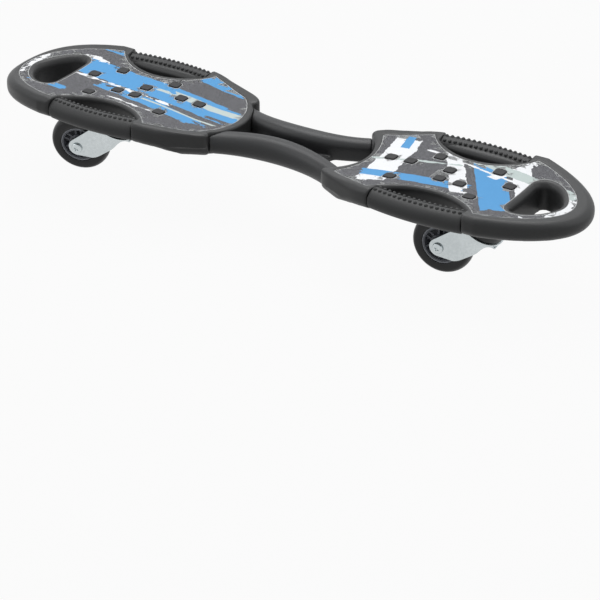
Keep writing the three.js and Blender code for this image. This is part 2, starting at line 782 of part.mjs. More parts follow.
// Swivel balls held in their retainer ring
function ballRing() {
  const balls = times(ballCount, (i) => {
    const angle = 2 * Math.PI * i / ballCount;
    return new THREE.IcosahedronGeometry(ballRadius)
      .translate(ballCircle * Math.cos(angle), ballCircle * Math.sin(angle), -raceLevel);
  });
  const retainer = upright(ring(
    ballCircle - retainerWidth / 2, ballCircle + retainerWidth / 2,
    -raceLevel - retainerThickness / 2, -raceLevel + retainerThickness / 2, 12,
  ));
  return geometryOf(joined([retainer, ...balls]));
}

// Fork about its axle: the crown plate under the balls and a bent leg each side of the wheel
function fork() {
  const top = axleDepth - crownTop;
  const outer = forkInnerHalf + sheetThickness;
  const centre = point(0, 0);
  const tangentPoint = (from, side) => point(legEndRadius, 0)
    .rotateAround(centre, from.angle() + side * Math.acos(legEndRadius / from.length()));
  const rearTop = point(axleTrail - crownRear, top);
  const frontTop = point(axleTrail + crownFront, top);
  const shin = point(legShinForward, legShinRise);
  const lipFoot = point(frontTop.x - sheetThickness, top - sheetThickness);
  const throat = new THREE.QuadraticBezierCurve(
    shin, point(legShinForward + lipThroat, lipFoot.y), lipFoot,
  ).getPoints(3);
  const knee = point(legKneeForward, -legKneeDrop);
  const rearTouch = tangentPoint(rearTop, 1);
  const lowTouch = tangentPoint(knee, -1);
  const endSteps = 5;
  const end = times(endSteps + 1, (i) => rearTouch.clone()
    .rotateAround(centre, (lowTouch.angle() - rearTouch.angle()) * i / endSteps));
  const bendTop = point(legBendTop, top);
  const bendFoot = lowTouch.clone().lerp(knee, (legBendFoot - lowTouch.x) / (knee.x - lowTouch.x));

  // How far the bend turns in a place on the leg
  const bendAlong = bendTop.clone().sub(bendFoot).normalize();
  const turnedIn = (x, z) => {
    const ahead = (x - bendFoot.x) * bendAlong.y - (z - bendFoot.y) * bendAlong.x;
    return Math.max(0, ahead) * Math.tan(legBend * degrees);
  };
  const panel = (outline) => {
    const geometry = new THREE.ExtrudeGeometry(new THREE.Shape(outline), {
      depth: sheetThickness, bevelEnabled: false,
    }).rotateX(Math.PI / 2).translate(0, outer, 0);
    const position = geometry.attributes.position;
    for (let i = 0; i < position.count; i += 1) {
      position.setY(i, position.getY(i) - turnedIn(position.getX(i), position.getZ(i)));
    }
    return geometry;
  };
  const panels = [
    panel([rearTop, ...end, bendFoot, bendTop]),
    panel([bendTop, bendFoot, knee, ...throat, frontTop]),
  ];
  const crownHalf = [
    point(frontTop.x, outer - turnedIn(frontTop.x, top)),
    point(bendTop.x, outer),
    point(rearTop.x, outer),
  ];
  const crownOutline = [...crownHalf, ...crownHalf.map((p) => point(p.x, -p.y)).reverse()];
  return geometryOf(cutBy(joined([prism(crownOutline, top - sheetThickness, top), ...bothSides(panels)]), [
    disc(kingpinRadius + fitGap, 0, axleDepth).translate(axleTrail, 0, 0),
    rod(axleRadius + fitGap, -overrun, overrun, boreSides),
  ]));
}

function tyre() {
  const seat = hubRadius + fitGap;
  return turned([[seat, -tyreBeadHalf], ...tread, [seat, tyreBeadHalf], [seat, -tyreBeadHalf]], wheelSides);
}

function wheelHub() {
  const face = hubWidth / 2;
  const shoulder = face - bearingWidth - fitGap;
  const seat = bearingRadius + fitGap;
  const rimInner = hubRadius - hubRim;
  const boss = turned([
    [hubShoulderRadius, -shoulder], [seat, -shoulder], [seat, -face], [hubBossRadius, -face],
    [hubBossRadius, face], [seat, face], [seat, shoulder], [hubShoulderRadius, shoulder],
    [hubShoulderRadius, -shoulder],
  ], boreSides);
  const ribLength = rimInner - hubBossRadius + 2 * overlap;
  const ribs = times(spokeCount, (i) => [-1, 1].map((side) => new THREE.BoxGeometry(
    ribLength, spokeWidth, spokeRib,
  ).translate(hubBossRadius - overlap + ribLength / 2, 0, side * spokeSpread)
    .rotateY(2 * Math.PI * i / spokeCount))).flat();
  return geometryOf(joined([ring(rimInner, hubRadius, -face, face, wheelSides), boss, ...ribs]));
}

function axleBolt() {
  const seat = forkInnerHalf + sheetThickness + fitGap;
  const head = rod(axleHeadRadius, -seat - axleHeadHeight, -seat);
  const shank = rod(axleRadius, -seat - overlap, seat + axleNutHeight + axleEnd, boreSides);
  return geometryOf(joined([head, shank]));
}

function axleNut() {
  const seat = forkInnerHalf + sheetThickness + fitGap;
  return geometryOf(solid(rod(axleNutRadius, seat, seat + axleNutHeight, 6))
    .subtract(solid(rod(axleRadius + fitGap, 0, seat + overrun, boreSides))));
}

function addCaster(parent, end, station, turn) {
  const mount = new THREE.Group();
  mount.position.set(station, 0, faceHeight);
  mount.rotation.y = tilt;
  parent.add(mount);
  add(mount, `${end}_base_plate`, basePlate(), zincSteel);
  plateScrewPlaces.forEach(({ x, y }, i) => {
    add(mount, `${end}_plate_screw_${i + 1}`, plateScrew(0).translate(x, y, 0), zincSteel);
  });
  add(mount, `${end}_kingpin`, kingpin(), zincSteel);
  add(mount, `${end}_kingpin_nut`, kingpinNut(), zincSteel);
  add(mount, `${end}_ball_ring`, ballRing(), ballSteel);

  const swivel = new THREE.Group();
  swivel.rotation.z = turn * degrees;
  mount.add(swivel);
  const axle = new THREE.Group();
  axle.position.set(-axleTrail, 0, -axleDepth);
  swivel.add(axle);
  const face = hubWidth / 2;
  const seat = face - bearingWidth;
  const spacer = (from, to) => ring(bearingBore, spacerRadius, from, to, boreSides);
  add(axle, `${end}_fork`, fork(), zincSteel);
  add(axle, `${end}_axle_bolt`, axleBolt(), zincSteel);
  add(axle, `${end}_axle_nut`, axleNut(), zincSteel);
  add(axle, `${end}_axle_spacer_left`, spacer(face + fitGap, forkInnerHalf - fitGap), zincSteel);
  add(axle, `${end}_axle_spacer_right`, spacer(fitGap - forkInnerHalf, -face - fitGap), zincSteel);
  const bearing = (from, to) => ring(bearingBore, bearingRadius, from, to, boreSides);
  add(axle, `${end}_wheel_bearing_left`, bearing(seat, face), ballSteel);
  add(axle, `${end}_wheel_bearing_right`, bearing(-face, -seat), ballSteel);
  add(axle, `${end}_bearing_spacer`, spacer(fitGap - seat, seat - fitGap), zincSteel);
  add(axle, `${end}_wheel_hub`, wheelHub(), hubPlastic);
  add(axle, `${end}_tyre`, tyre(), tyreRubber);
}

function flexLink() {
  const path = new ArcPath(place(0, armPinchHalf, armLevel), armRadius, armAngle, -1);
  const arm = sweep(oval(armHeight / 2, armWidth / 2, 12), path, 8);
  const tenon = armBlock(-overlap, tenonLength, tenonWidth, tenonHeight);
  const armHalfAt = (x) => armPinchHalf + armRadius - Math.sqrt(armRadius * armRadius - x * x);
  const steps = 6;
  const side = times(steps + 1, (i) => {
    const x = webHalfLength * (1 - 2 * i / steps);
    return point(x, armHalfAt(x));
  });
  const cornerHalf = armHalfAt(webHalfLength);
  const end = new THREE.QuadraticBezierCurve(
    point(webHalfLength, -cornerHalf),
    point(webHalfLength - 2 * webHollow, 0),
    point(webHalfLength, cornerHalf),
  ).getPoints(4).slice(1, -1);
  const outline = [
    ...side,
    ...end.map((p) => point(-p.x, -p.y)),
    ...side.map((p) => point(p.x, -p.y)).reverse(),
    ...end,
  ];
  const webBottom = armLevel - armHeight / 2 + overlap;
  const web = prism(outline, webBottom, webBottom + webThickness);
  const holes = bothSides(linkBoltHoles());
  return geometryOf(cutBy(joined([...bothSides([arm, tenon, rearward(tenon)]), web]), [
    ...holes, ...holes.map(rearward),
  ]));
}

// Four bolts that hold the link's arms in one deck, or in the other with a sign of -1
function addLinkBolts(end, sign) {
  const bolts = linkBoltStations.map(
    (station) => alongArm(bare(geometryOf(joined(linkBolt(0)))).translate(station, 0, 0)),
  );
  bothSides(bolts).forEach((bolt, i) => {
    add(board, `${end}_link_bolt_${i + 1}`, sign > 0 ? bolt : rearward(bolt), zincSteel);
  });
}

const board = new THREE.Group();
const frontStation = casterLead + casterStation;
const rearStation = casterLead - casterStation;
const tape = tapeSheet();
const leftGrip = sideGrip();
const rightGrip = mirrored(leftGrip, 1, -1);

add(board, 'front_deck', deckBody(frontStation, 1), deckPlastic);
add(board, 'front_grip_tape', tape, gripTape);
add(board, 'front_side_grip_left', leftGrip, softGrip);
add(board, 'front_side_grip_right', rightGrip, softGrip);
addLinkBolts('front', 1);
addCaster(board, 'front', frontStation, frontTurn);

add(board, 'rear_deck', rearward(deckBody(-rearStation, -1)), deckPlastic);
add(board, 'rear_grip_tape', rearward(tape), gripTape);
add(board, 'rear_side_grip_left', rearward(leftGrip), softGrip);
add(board, 'rear_side_grip_right', rearward(rightGrip), softGrip);
addLinkBolts('rear', -1);
addCaster(board, 'rear', rearStation, rearTurn);

add(board, 'flex_link', flexLink(), linkPlastic);

export default board;
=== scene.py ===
# Caster board: two foot decks joined by a springy twin-arm link, with a swivelling wheel under each deck.
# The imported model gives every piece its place. Outlines are worked in millimetres and made in metres.
from math import acos, asin, atan2, cos, hypot, pi, radians, sin, sqrt, tan

import bmesh
import bpy
from mathutils import Matrix, Vector


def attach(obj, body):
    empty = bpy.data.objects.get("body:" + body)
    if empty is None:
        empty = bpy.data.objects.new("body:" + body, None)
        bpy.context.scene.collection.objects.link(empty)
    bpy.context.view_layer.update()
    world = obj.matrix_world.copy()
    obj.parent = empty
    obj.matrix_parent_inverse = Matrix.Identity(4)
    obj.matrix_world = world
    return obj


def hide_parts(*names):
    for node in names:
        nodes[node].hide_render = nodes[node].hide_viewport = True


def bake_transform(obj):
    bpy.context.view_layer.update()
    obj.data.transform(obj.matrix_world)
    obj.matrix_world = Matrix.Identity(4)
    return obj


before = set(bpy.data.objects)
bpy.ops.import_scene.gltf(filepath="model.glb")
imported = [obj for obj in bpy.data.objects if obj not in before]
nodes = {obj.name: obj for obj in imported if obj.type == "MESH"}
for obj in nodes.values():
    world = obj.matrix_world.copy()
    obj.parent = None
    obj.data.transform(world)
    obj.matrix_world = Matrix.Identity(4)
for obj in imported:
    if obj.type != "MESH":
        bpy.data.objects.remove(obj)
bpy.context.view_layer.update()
ENDS = {"front": 1, "rear": -1}  # which way each end lies, and below each side
SIDES = {"left": 1, "right": -1}
EDGE_ANGLE = 32  # metal edges bent by more than this many degrees look sharp


def placed(name, data):
    made = bpy.data.objects.new(name, data)
    bpy.context.collection.objects.link(made)
    return made


def new_material(name):
    made = bpy.data.materials.new(name)
    made.use_nodes = True
    return made, made.node_tree, made.node_tree.nodes["Principled BSDF"]


def fill(node, inputs):
    """Fills a node's inputs, each from a (socket, source or value) pair."""
    for socket, source in inputs:
        if isinstance(source, bpy.types.NodeSocket):
            node.id_data.links.new(source, node.inputs[socket])
        else:
            node.inputs[socket].default_value = source
    return node


def put(tree, kind, inputs=(), **values):
    """Adds a node, sets its properties and fills its inputs."""
    node = tree.nodes.new(kind)
    for key, value in values.items():
        setattr(node, key, value)
    return fill(node, inputs)


def maths(tree, operation, *terms):
    return put(tree, "ShaderNodeMath", enumerate(terms), operation=operation).outputs[0]


# --- Studio ---
# A plain white floor, a large soft light overhead with weaker ones at the sides, and a long lens from the
# board's right and front, looking down on it as a product photographer would.
floor_reach, floor_bounce, floor_white, sky_light = 15, 0.22, 0.95, 0.18
floor_mesh = bpy.data.meshes.new("studio_floor")
floor_corners = [(x * floor_reach, y * floor_reach, 0) for x, y in ((-1, -1), (1, -1), (1, 1), (-1, 1))]
floor_mesh.from_pydata(floor_corners, [], [(0, 1, 2, 3)])
placed("studio_floor", floor_mesh)


def plainly_seen(tree):
    """1 for what the lens, a reflection or clear material sees, 0 for what lights the object."""
    path = put(tree, "ShaderNodeLightPath")
    seen = path.outputs["Is Camera Ray"]
    for kind in ("Is Glossy Ray", "Is Transmission Ray"):
        seen = maths(tree, "MAXIMUM", seen, path.outputs[kind])
    return seen


floor_paint, floor_tree, floor_bsdf = new_material("studio_white")
fill(floor_bsdf, [("Base Color", (floor_bounce, floor_bounce, floor_bounce, 1)), ("Roughness", 0.85)])
floor_glow = put(floor_tree, "ShaderNodeEmission", [("Color", (1, 1, 1, 1))])
floor_mix = put(floor_tree, "ShaderNodeMixShader", [
    (0, maths(floor_tree, "MULTIPLY", plainly_seen(floor_tree), floor_white)),
    (1, floor_bsdf.outputs[0]), (2, floor_glow.outputs[0]),
])
fill(floor_tree.nodes["Material Output"], [("Surface", floor_mix.outputs[0])])
floor_mesh.materials.append(floor_paint)

world = bpy.data.worlds.new("studio")
bpy.context.scene.world = world
world.use_nodes = True
sky_level = put(world.node_tree, "ShaderNodeMapRange", [
    ("Value", plainly_seen(world.node_tree)), ("To Min", sky_light), ("To Max", 1.0),
])
fill(world.node_tree.nodes["Background"], [
    ("Color", (0.97, 0.985, 1, 1)), ("Strength", sky_level.outputs["Result"]),
])

for name, watts, size, place in (
    ("overhead", 64, 2.2, (-0.3, 0.5, 2.3)),
    ("window_side", 12, 1.4, (-2.0, -1.4, 1.7)),
    ("fill_side", 7, 1.6, (2.0, 0.9, 1.4)),
):
    lamp = bpy.data.lights.new(name, "AREA")
    lamp.energy = watts
    lamp.size = size
    holder = placed(name, lamp)
    holder.location = place
    holder.rotation_euler = (Vector((0, 0, 0.1)) - Vector(place)).to_track_quat("-Z", "Y").to_euler()

camera_lens = bpy.data.cameras.new("product_lens")
camera_lens.lens = 157.4
camera_lens.sensor_width = 36
camera = placed("product_lens", camera_lens)
camera_aim, camera_distance = Vector((0.2431, -0.3596, 0.1301)), 2.902
camera_turn, camera_rise, camera_roll = (radians(angle) for angle in (31.95, 29.11, 0.23))
camera_back = Vector((
    sin(camera_turn) * cos(camera_rise),
    -cos(camera_turn) * cos(camera_rise),
    sin(camera_rise),
))
camera.location = camera_aim + camera_distance * camera_back
camera_level = (-camera_back).to_track_quat("-Z", "Y").to_matrix()
camera.rotation_euler = (camera_level @ Matrix.Rotation(camera_roll, 3, "Z")).to_euler()
bpy.context.scene.camera = camera
bpy.context.scene.view_settings.view_transform = "Standard"

# --- Deck mouldings ---
# Each foot deck is one injection moulding in charcoal plastic: a dished top with a shallow pocket for the
# grip tape, rounded flanks, a hollow ribbed underside, a D-shaped carry hole, an opening along each side
# bar, two sockets for the link and an inclined boss for the caster. The rear deck is worked like the front
# one and mirrored at the end. Its inner end and nose differ, and its hole and boss lie elsewhere.
MM = 0.001
FIT = 0.3  # clearance between fitted pieces
PAST = 40  # how far a cutting tool reaches past what it cuts
BITE = 1  # how far forms that meet overlap
foot_height = 129.5
foot_middle, foot_end = 235, 122
dish_rise, inner_drop, heel_drop = 6.2, 5, 1.5
nose_start, nose_rise = 320, {"front": 4, "rear": 0}
tape_thickness = 0.8
tape_shoulder_outer, tape_shoulder_inner, tape_shoulder_half = 309, 163.5, 84
tape_waist_depth = 39
deck_thickness, rim_rise = 31, 0.8
deck_shoulder_inner, deck_shoulder_half = 162, 99
deck_sweep, deck_corner = 22, (105, 76)
side_wall, skirt_wall, panel = 6.5, 8, 4.5
socket_half, socket_foot, socket_end = 14.9, 16.9, 54
tenon_length, tenon_half, tenon_rise = 38, 9, 8
link_bolt_places, bolt_clearance, bolt_end = (10, 28), 3.3, 4.3
boss_stations, boss_radius, nut_room = {"front": 279, "rear": 267}, 30, 11
boss_tilt, face_height = radians(30), 75.4161
nose_round, inner_round, end_round = 13, 5, 4
belly, squash = 1.4, 0.78  # the lower edges' reach to the upper ones', and every edge's height to its reach
rib_half, rib_rise = 1.5, 6
rib_rows, rib_stations = (-27, 27), (150, 190, 230, 270, 310)
lip_width, lip_rise, lip_root = 1.4, 0.5, 4


def fallen(x):
    inward = min(1, max(0, (foot_middle - x) / (foot_middle - foot_end)))
    return inward * inward


def foot_surface(x, y):
    across = y / tape_shoulder_half
    return foot_height + dish_rise * across * across - inner_drop * fallen(x)


def raised(height):
    return lambda x, y: foot_surface(x, y) + height


def deck_bottom(end, margin=0):
    def height(x, y):
        nose = nose_rise[end] * max(0, (x - nose_start) / 100) ** 2
        return foot_surface(x, y) + rim_rise - deck_thickness - heel_drop * fallen(x) + nose - margin
    return height


def bezier(knots, steps):
    points = []
    for i in range(steps + 1):
        t = i / steps
        row = [Vector(k) for k in knots]
        while len(row) > 1:
            row = [a.lerp(b, t) for a, b in zip(row, row[1:])]
        points.append(row[0])
    return points


def quarter(steps):
    return [i / steps * pi / 2 for i in range(steps + 1)]


def both_halves(half):
    inner = half[1:-1]
    return [half[0], *inner, half[-1], *[Vector((p.x, -p.y)) for p in reversed(inner)]]


def arc_radius(half, rise):
    return (half * half + rise * rise) / (2 * rise)


def end_curve(corner, corner_half, end, steps):
    radius = arc_radius(corner_half, end - corner)
    angle = asin(corner_half / radius)
    turns = [angle * (1 - i / steps) for i in range(steps + 1)]
    return [Vector((end - radius * (1 - cos(a)), radius * sin(a))) for a in turns]


waist_middle = (tape_shoulder_outer + tape_shoulder_inner) / 2
waist_radius = arc_radius((tape_shoulder_outer - tape_shoulder_inner) / 2, tape_waist_depth)
waist_centre = tape_shoulder_half - tape_waist_depth + waist_radius


def waist_curve(set_back, start, end, steps):
    radius = waist_radius - set_back
    first = asin((start - waist_middle) / radius)
    last = asin((end - waist_middle) / radius)
    turns = [first + (last - first) * i / steps for i in range(steps + 1)]
    return [Vector((waist_middle + radius * sin(a), waist_centre - radius * cos(a))) for a in turns]


def outwards(outline):
    count = len(outline)
    found = []
    for i, p in enumerate(outline):
        before = (p - outline[i - 1]).normalized()
        after = (outline[(i + 1) % count] - p).normalized()
        along = (before + after).normalized()
        found.append(Vector((along.y, -along.x)) / max(sqrt(0.5), along.dot(after)))
    return found


def grown(outline, distance):
    return [p + out * distance for p, out in zip(outline, outwards(outline))]


def drop(*pieces):
    for piece in pieces:
        bpy.data.objects.remove(piece)


def piece_from(name, points, faces):
    mesh = bpy.data.meshes.new(name)
    mesh.from_pydata([tuple(c * MM for c in p) for p in points], [], faces)
    mesh.validate()
    return placed(name, mesh)


def stack(name, rings):
    count = len(rings[0])
    faces = [tuple(reversed(range(count)))]
    for low in range(0, (len(rings) - 1) * count, count):
        for i in range(count):
            n = (i + 1) % count
            faces.append((low + i, low + n, low + count + n, low + count + i))
    faces.append(tuple(range((len(rings) - 1) * count, len(rings) * count)))
    return piece_from(name, [p for ring in rings for p in ring], faces)


def level(outline, height):
    return [(p.x, p.y, height) for p in outline]


def prism(name, outline, low=foot_height - deck_thickness - PAST, high=foot_height + PAST):
    return stack(name, [level(outline, low), level(outline, high)])


# The room between two height functions, over the whole of a deck.
def field(name, bottom, top):
    start, end, half_width, columns, rows = 52, 421, 100, 44, 26
    xs = [start + (end - start) * i / columns for i in range(columns + 1)]
    ys = [half_width * (2 * j / rows - 1) for j in range(rows + 1)]
    points = [(x, y, bottom(x, y)) for x in xs for y in ys] + [(x, y, top(x, y)) for x in xs for y in ys]
    wide = rows + 1
    roof = (columns + 1) * wide
    faces = []
    for i in range(columns):
        for j in range(rows):
            a = i * wide + j
            faces.append((a, a + 1, a + wide + 1, a + wide))
            faces.append((roof + a, roof + a + wide, roof + a + wide + 1, roof + a + 1))
    walls = [(i * wide + j, wide, turn) for i in range(columns) for j, turn in ((0, 1), (rows, -1))]
    walls += [(i * wide + j, 1, turn) for j in range(rows) for i, turn in ((0, -1), (columns, 1))]
    for a, on, turn in walls:
        faces.append((a, a + on, roof + a + on, roof + a)[::turn])
    return piece_from(name, points, faces)


def settle(piece):
    bpy.context.view_layer.update()
    graph = bpy.context.evaluated_depsgraph_get()
    made = bpy.data.meshes.new_from_object(piece.evaluated_get(graph), depsgraph=graph)
    piece.modifiers.clear()
    piece.data = made
    return piece


def carve(piece, operation, *tools):
    for tool in tools:
        cut = piece.modifiers.new(operation, "BOOLEAN")
        cut.operation = operation
        cut.solver = "MANIFOLD"
        cut.object = tool
    settle(piece)
    drop(*tools)
    return piece


def shaded(piece, sharp=None):
    for polygon in piece.data.polygons:
        polygon.use_smooth = True
    if sharp:
        piece.data.set_sharp_from_angle(angle=radians(sharp))
    return piece


def moved(piece, matrix):
    """Moves, turns or mirrors a mesh, its faces still outwards."""
    piece.data.transform(matrix)
    if matrix.determinant() < 0:
        piece.data.flip_normals()
    return piece


LEFT_RIGHT = Matrix.Scale(-1, 4, (0, 1, 0))
FORE_AFT = Matrix.Scale(-1, 4, (1, 0, 0))
IN_PLACE = Matrix.Identity(4)
END_MIRRORS = {"front": IN_PLACE, "rear": FORE_AFT}


def mirrored(piece, mirror, name="mirrored"):
    return moved(placed(name, piece.data.copy()), mirror)


def painted(piece, *finishes):
    piece.data.materials.clear()
    for finish in finishes:
        piece.data.materials.append(finish)
    return piece


def dressed(piece, place, body, finish, slot, *replaced):
    moved(painted(piece, finish), place)
    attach(piece, body)
    if replaced:
        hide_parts(*replaced)
    return piece


def both_sides(piece):
    return [piece, mirrored(piece, LEFT_RIGHT)]


def oval(width, height):
    return lambda a: (width / 2 * sin(a), height / 2 * cos(a))


def swept(name, path, profile, sides, section=oval(2, 2)):
    points = []
    for s, radius in profile:
        centre, along = path(s)
        side = along.cross(Vector((0, 0, 1)))
        for i in range(sides):
            across, up = section(2 * pi * i / sides)
            points.append(centre + Vector((0, 0, radius * up)) + side * radius * across)
    count = len(profile)
    faces = []
    for r in range(count):
        for i in range(sides):
            n = (i + 1) % sides
            a, b = r * sides, ((r + 1) % count) * sides
            faces.append((a + i, a + n, b + n, b + i))
    made = piece_from(name, points, faces)
    form = bmesh.new()
    form.from_mesh(made.data)
    bmesh.ops.remove_doubles(form, verts=form.verts, dist=1e-6)
    bmesh.ops.dissolve_degenerate(form, dist=1e-6, edges=form.edges)
    bmesh.ops.recalc_face_normals(form, faces=form.faces)
    form.to_mesh(made.data)
    form.free()
    return made


bar_inner, bar_outer, bar_bow, bar_end_half, bar_drop = 174.5, 298.5, 5.8, 84.5, 8.5
bar_half = (bar_outer - bar_inner) / 2
bar_middle = Vector(((bar_inner + bar_outer) / 2, bar_end_half + bar_bow, foot_height - bar_drop))
bar_radius = arc_radius(bar_half, bar_bow)
core_radius, sleeve_radius = 10, 13.5
arm_seat, arm_seat_half, arm_pinch = 94, 47, 23.2
arm_radius = arc_radius(arm_seat, arm_seat_half - arm_pinch)
arm_angle = asin(arm_seat / arm_radius)
arm_level = foot_height - 19.5
arm_width, arm_height = 27, 31


def bar_path(s):
    angle = s / bar_radius
    centre = bar_middle + Vector((bar_radius * sin(angle), bar_radius * (cos(angle) - 1), 0))
    return centre, Vector((cos(angle), -sin(angle), 0))


def socket_path(s):
    along = Vector((cos(arm_angle), sin(arm_angle), 0))
    return Vector((arm_seat, arm_seat_half, arm_level)) + along * s, along


def plain_ends(start, end, radius):
    return [(start, 0), (start, radius), (end, radius), (end, 0)]


def block(name, low, high):
    base = [Vector(p) for p in (low[:2], (high[0], low[1]), high[:2], (low[0], high[1]))]
    return prism(name, base, low[2], high[2])


def at_socket(piece):
    seat = Matrix.Translation(Vector((arm_seat, arm_seat_half, arm_level)) * MM)
    return moved(piece, seat @ Matrix.Rotation(arm_angle, 4, "Z"))


# The front deck's inner end is hollow. The rear one's bulges between the link's arms, and its nose is blunt.
def deck_plan(end):
    nose, corner, end_corner, inner_end = {
        "front": (((420, 0), (420, 46), (372, 78)), (78, 64.5), (92, 53), 114),
        "rear": (((416, 0), (416, 58), (380, 84)), (71, 65), (86, 51), 66),
    }[end]
    shoulder = Vector((deck_shoulder_inner, deck_shoulder_half))
    taper = (Vector(deck_corner) - shoulder).normalized() * deck_sweep
    sweep_start = (deck_shoulder_inner + deck_sweep, deck_shoulder_half)
    half = [(p, nose_round) for p in bezier([*nose, (318, deck_shoulder_half)], 30)]
    half += [(p, nose_round) for p in bezier([sweep_start, shoulder, shoulder + taper], 8)]
    half += [(p, inner_round) for p in bezier([deck_corner, corner, end_corner], 12)]
    half += [(p, end_round) for p in end_curve(*end_corner, inner_end, 14)[1:]]
    return both_halves([p for p, _ in half]), [r for _, r in half + half[1:-1][::-1]]


# The rear deck's hole, and its tape's end with it, lie a little further out.
def hole_outline(end):
    out = Vector(({"front": 0, "rear": 6}[end], 0))
    half = [
        *bezier([(386.5, 0), (386.5, 18), (366, 49.5), (343, 49.5)], 20),
        *bezier([(343, 49.5), (334, 49.5), (327, 42), (327, 31)], 10)[1:],
        Vector((327, 0)),
    ]
    return both_halves([p + out for p in half])


hole_throat, hole_draft, hole_flare_depth, hole_rim, hole_wall = 7, 5, 12, 6, 4


def rounded_envelope(end, margin=0):
    outline, reaches = deck_plan(end)
    outline = grown(outline, margin)
    out = outwards(outline)

    def ring(turn, face, share, lift=0):
        points = []
        for p, o, reach in zip(outline, out, reaches):
            inset = abs(share) * reach * (1 - sin(turn))
            rise = share * reach * squash * (1 - cos(turn))
            points.append((p.x - o.x * inset, p.y - o.y * inset, face(p.x, p.y) + rise + lift))
        return points

    bottom, top = deck_bottom(end, margin), raised(rim_rise + margin)
    lower = [ring(turn, bottom, belly) for turn in quarter(8)]
    upper = [ring(turn, top, -1) for turn in reversed(quarter(8))]
    made = stack("envelope", [ring(0, bottom, belly, -PAST), *lower, *upper, ring(0, top, -1, PAST)])
    return carve(made, "INTERSECT", field("slab", bottom, top))


def side_opening():
    inner, outer, corner_reach, outside = bar_inner - FIT, bar_outer + FIT, 8, deck_shoulder_half + 12
    level_half = 60  # further out the edges keep the height that they have here

    def corner(face, away):
        return bezier([
            (face, deck_shoulder_half - corner_reach), (face, deck_shoulder_half),
            (face + away * corner_reach, deck_shoulder_half),
        ], 8)

    def ring(flare, height):
        outline = [
            *waist_curve(side_wall - flare, inner, outer, 40),
            *corner(outer, 1),
            Vector((outer + corner_reach, outside)),
            Vector((inner - corner_reach, outside)),
            *reversed(corner(inner, -1)),
        ]
        return [(p.x, p.y, foot_surface(p.x, min(p.y, level_half)) + height) for p in outline]

    flare_reach, flare_depth = 3.6, 7
    flared = [ring(flare_reach * (1 - cos(a)), rim_rise - flare_depth * (1 - sin(a))) for a in quarter(6)]
    return stack("side_opening", [ring(0, -deck_thickness - PAST), *flared, ring(flare_reach, PAST)])


def carry_hole(end):
    outline = hole_outline(end)
    out = outwards(outline)

    def ring(inset, height):
        return [
            (p.x - o.x * inset, p.y - o.y * inset, foot_surface(p.x, p.y) + height)
            for p, o in zip(outline, out)
        ]

    flare = [ring(hole_throat * cos(a), -hole_flare_depth * (1 - sin(a))) for a in quarter(8)]
    foot = ring(hole_throat + hole_draft, -deck_thickness - PAST)
    return stack("carry_hole", [foot, *flare, ring(0, PAST)])


def circle(radius, along=0, sides=24):
    turns = [2 * pi * i / sides for i in range(sides)]
    return [Vector((along + radius * cos(a), radius * sin(a))) for a in turns]


def boss_tool(name, end, radius, low, high):
    tilt = Matrix.Rotation(ENDS[end] * boss_tilt, 4, "Y")
    face = Matrix.Translation((boss_stations[end] * MM, 0, face_height * MM))
    return moved(prism(name, circle(radius, 0, 48), low, high), face @ tilt)


def socket_block(start):
    low, high = (start, -socket_half, -socket_foot), (socket_end, socket_half, socket_foot)
    return at_socket(block("socket", low, high))


def bolt_way(along, radius, low, high):
    return at_socket(prism("bolt_way", circle(radius, along), low, high))


def tenon_block(start, end, margin):
    half, rise = tenon_half + margin, tenon_rise + margin
    return at_socket(block("tenon", (start, -half, -rise), (end, half, rise)))


def underside_hollow(end):
    inner_end = 118 if end == "front" else 90
    share = (inner_end - deck_corner[0]) / (deck_shoulder_inner - deck_corner[0])
    taper_half = deck_corner[1] + share * (deck_shoulder_half - deck_corner[1])
    outline = deck_plan(end)[0]
    plan = both_halves([
        *[p for p in outline[:len(outline) // 2] if p.x > deck_shoulder_inner - deck_sweep],
        Vector((inner_end, taper_half)),
        Vector((inner_end, 0)),
    ])
    ceiling = raised(-tape_thickness - FIT - panel)
    hollow = prism("hollow", grown(plan, -skirt_wall))
    carve(hollow, "INTERSECT", field("ceiling", lambda x, y: 30, ceiling))
    inner, outer = bar_inner - skirt_wall, bar_outer + skirt_wall
    wall = prism("waist_wall", [
        *waist_curve(side_wall - skirt_wall, inner, outer, 24),
        Vector((outer, deck_shoulder_half + BITE)),
        Vector((inner, deck_shoulder_half + BITE)),
    ])
    carve(
        hollow, "DIFFERENCE", *both_sides(wall), *both_sides(socket_block(-16)),
        prism("hole_sleeve", grown(hole_outline(end), hole_wall - hole_throat)),
        boss_tool("boss_room", end, boss_radius, 0, foot_height),
    )
    rib_foot, rib_top = foot_height + rim_rise - deck_thickness + rib_rise, 200
    rib_plans = [((40, y - rib_half), (460, y + rib_half)) for y in rib_rows]
    rib_plans += [((x - rib_half, -110), (x + rib_half, 110)) for x in rib_stations]
    ribs = [block("rib", (*low, rib_foot), (*high, rib_top)) for low, high in rib_plans]
    return carve(hollow, "DIFFERENCE", *ribs)


# Rounds every edge a little, like a real moulding's: fine voxels, smoothed, then thinned out again.
def soften(piece, voxel, passes, keep):
    grid = piece.modifiers.new("grid", "REMESH")
    grid.mode = "VOXEL"
    grid.voxel_size = voxel * MM
    flow = piece.modifiers.new("flow", "SMOOTH")
    flow.factor = 0.5
    flow.iterations = passes
    thin = piece.modifiers.new("thin", "DECIMATE")
    thin.ratio = keep
    return shaded(settle(piece))


def tape_outline(end):
    outer = {"front": [(398, 0), (398, 38), (352, 68)], "rear": [(405, 0), (405, 44), (362, 72)]}[end]
    return both_halves([
        *bezier([*outer, (tape_shoulder_outer, tape_shoulder_half)], 28)[:-1],
        *waist_curve(0, tape_shoulder_outer, tape_shoulder_inner, 44),
        *end_curve(103, 60, {"front": 119, "rear": 76}[end], 18),
    ])


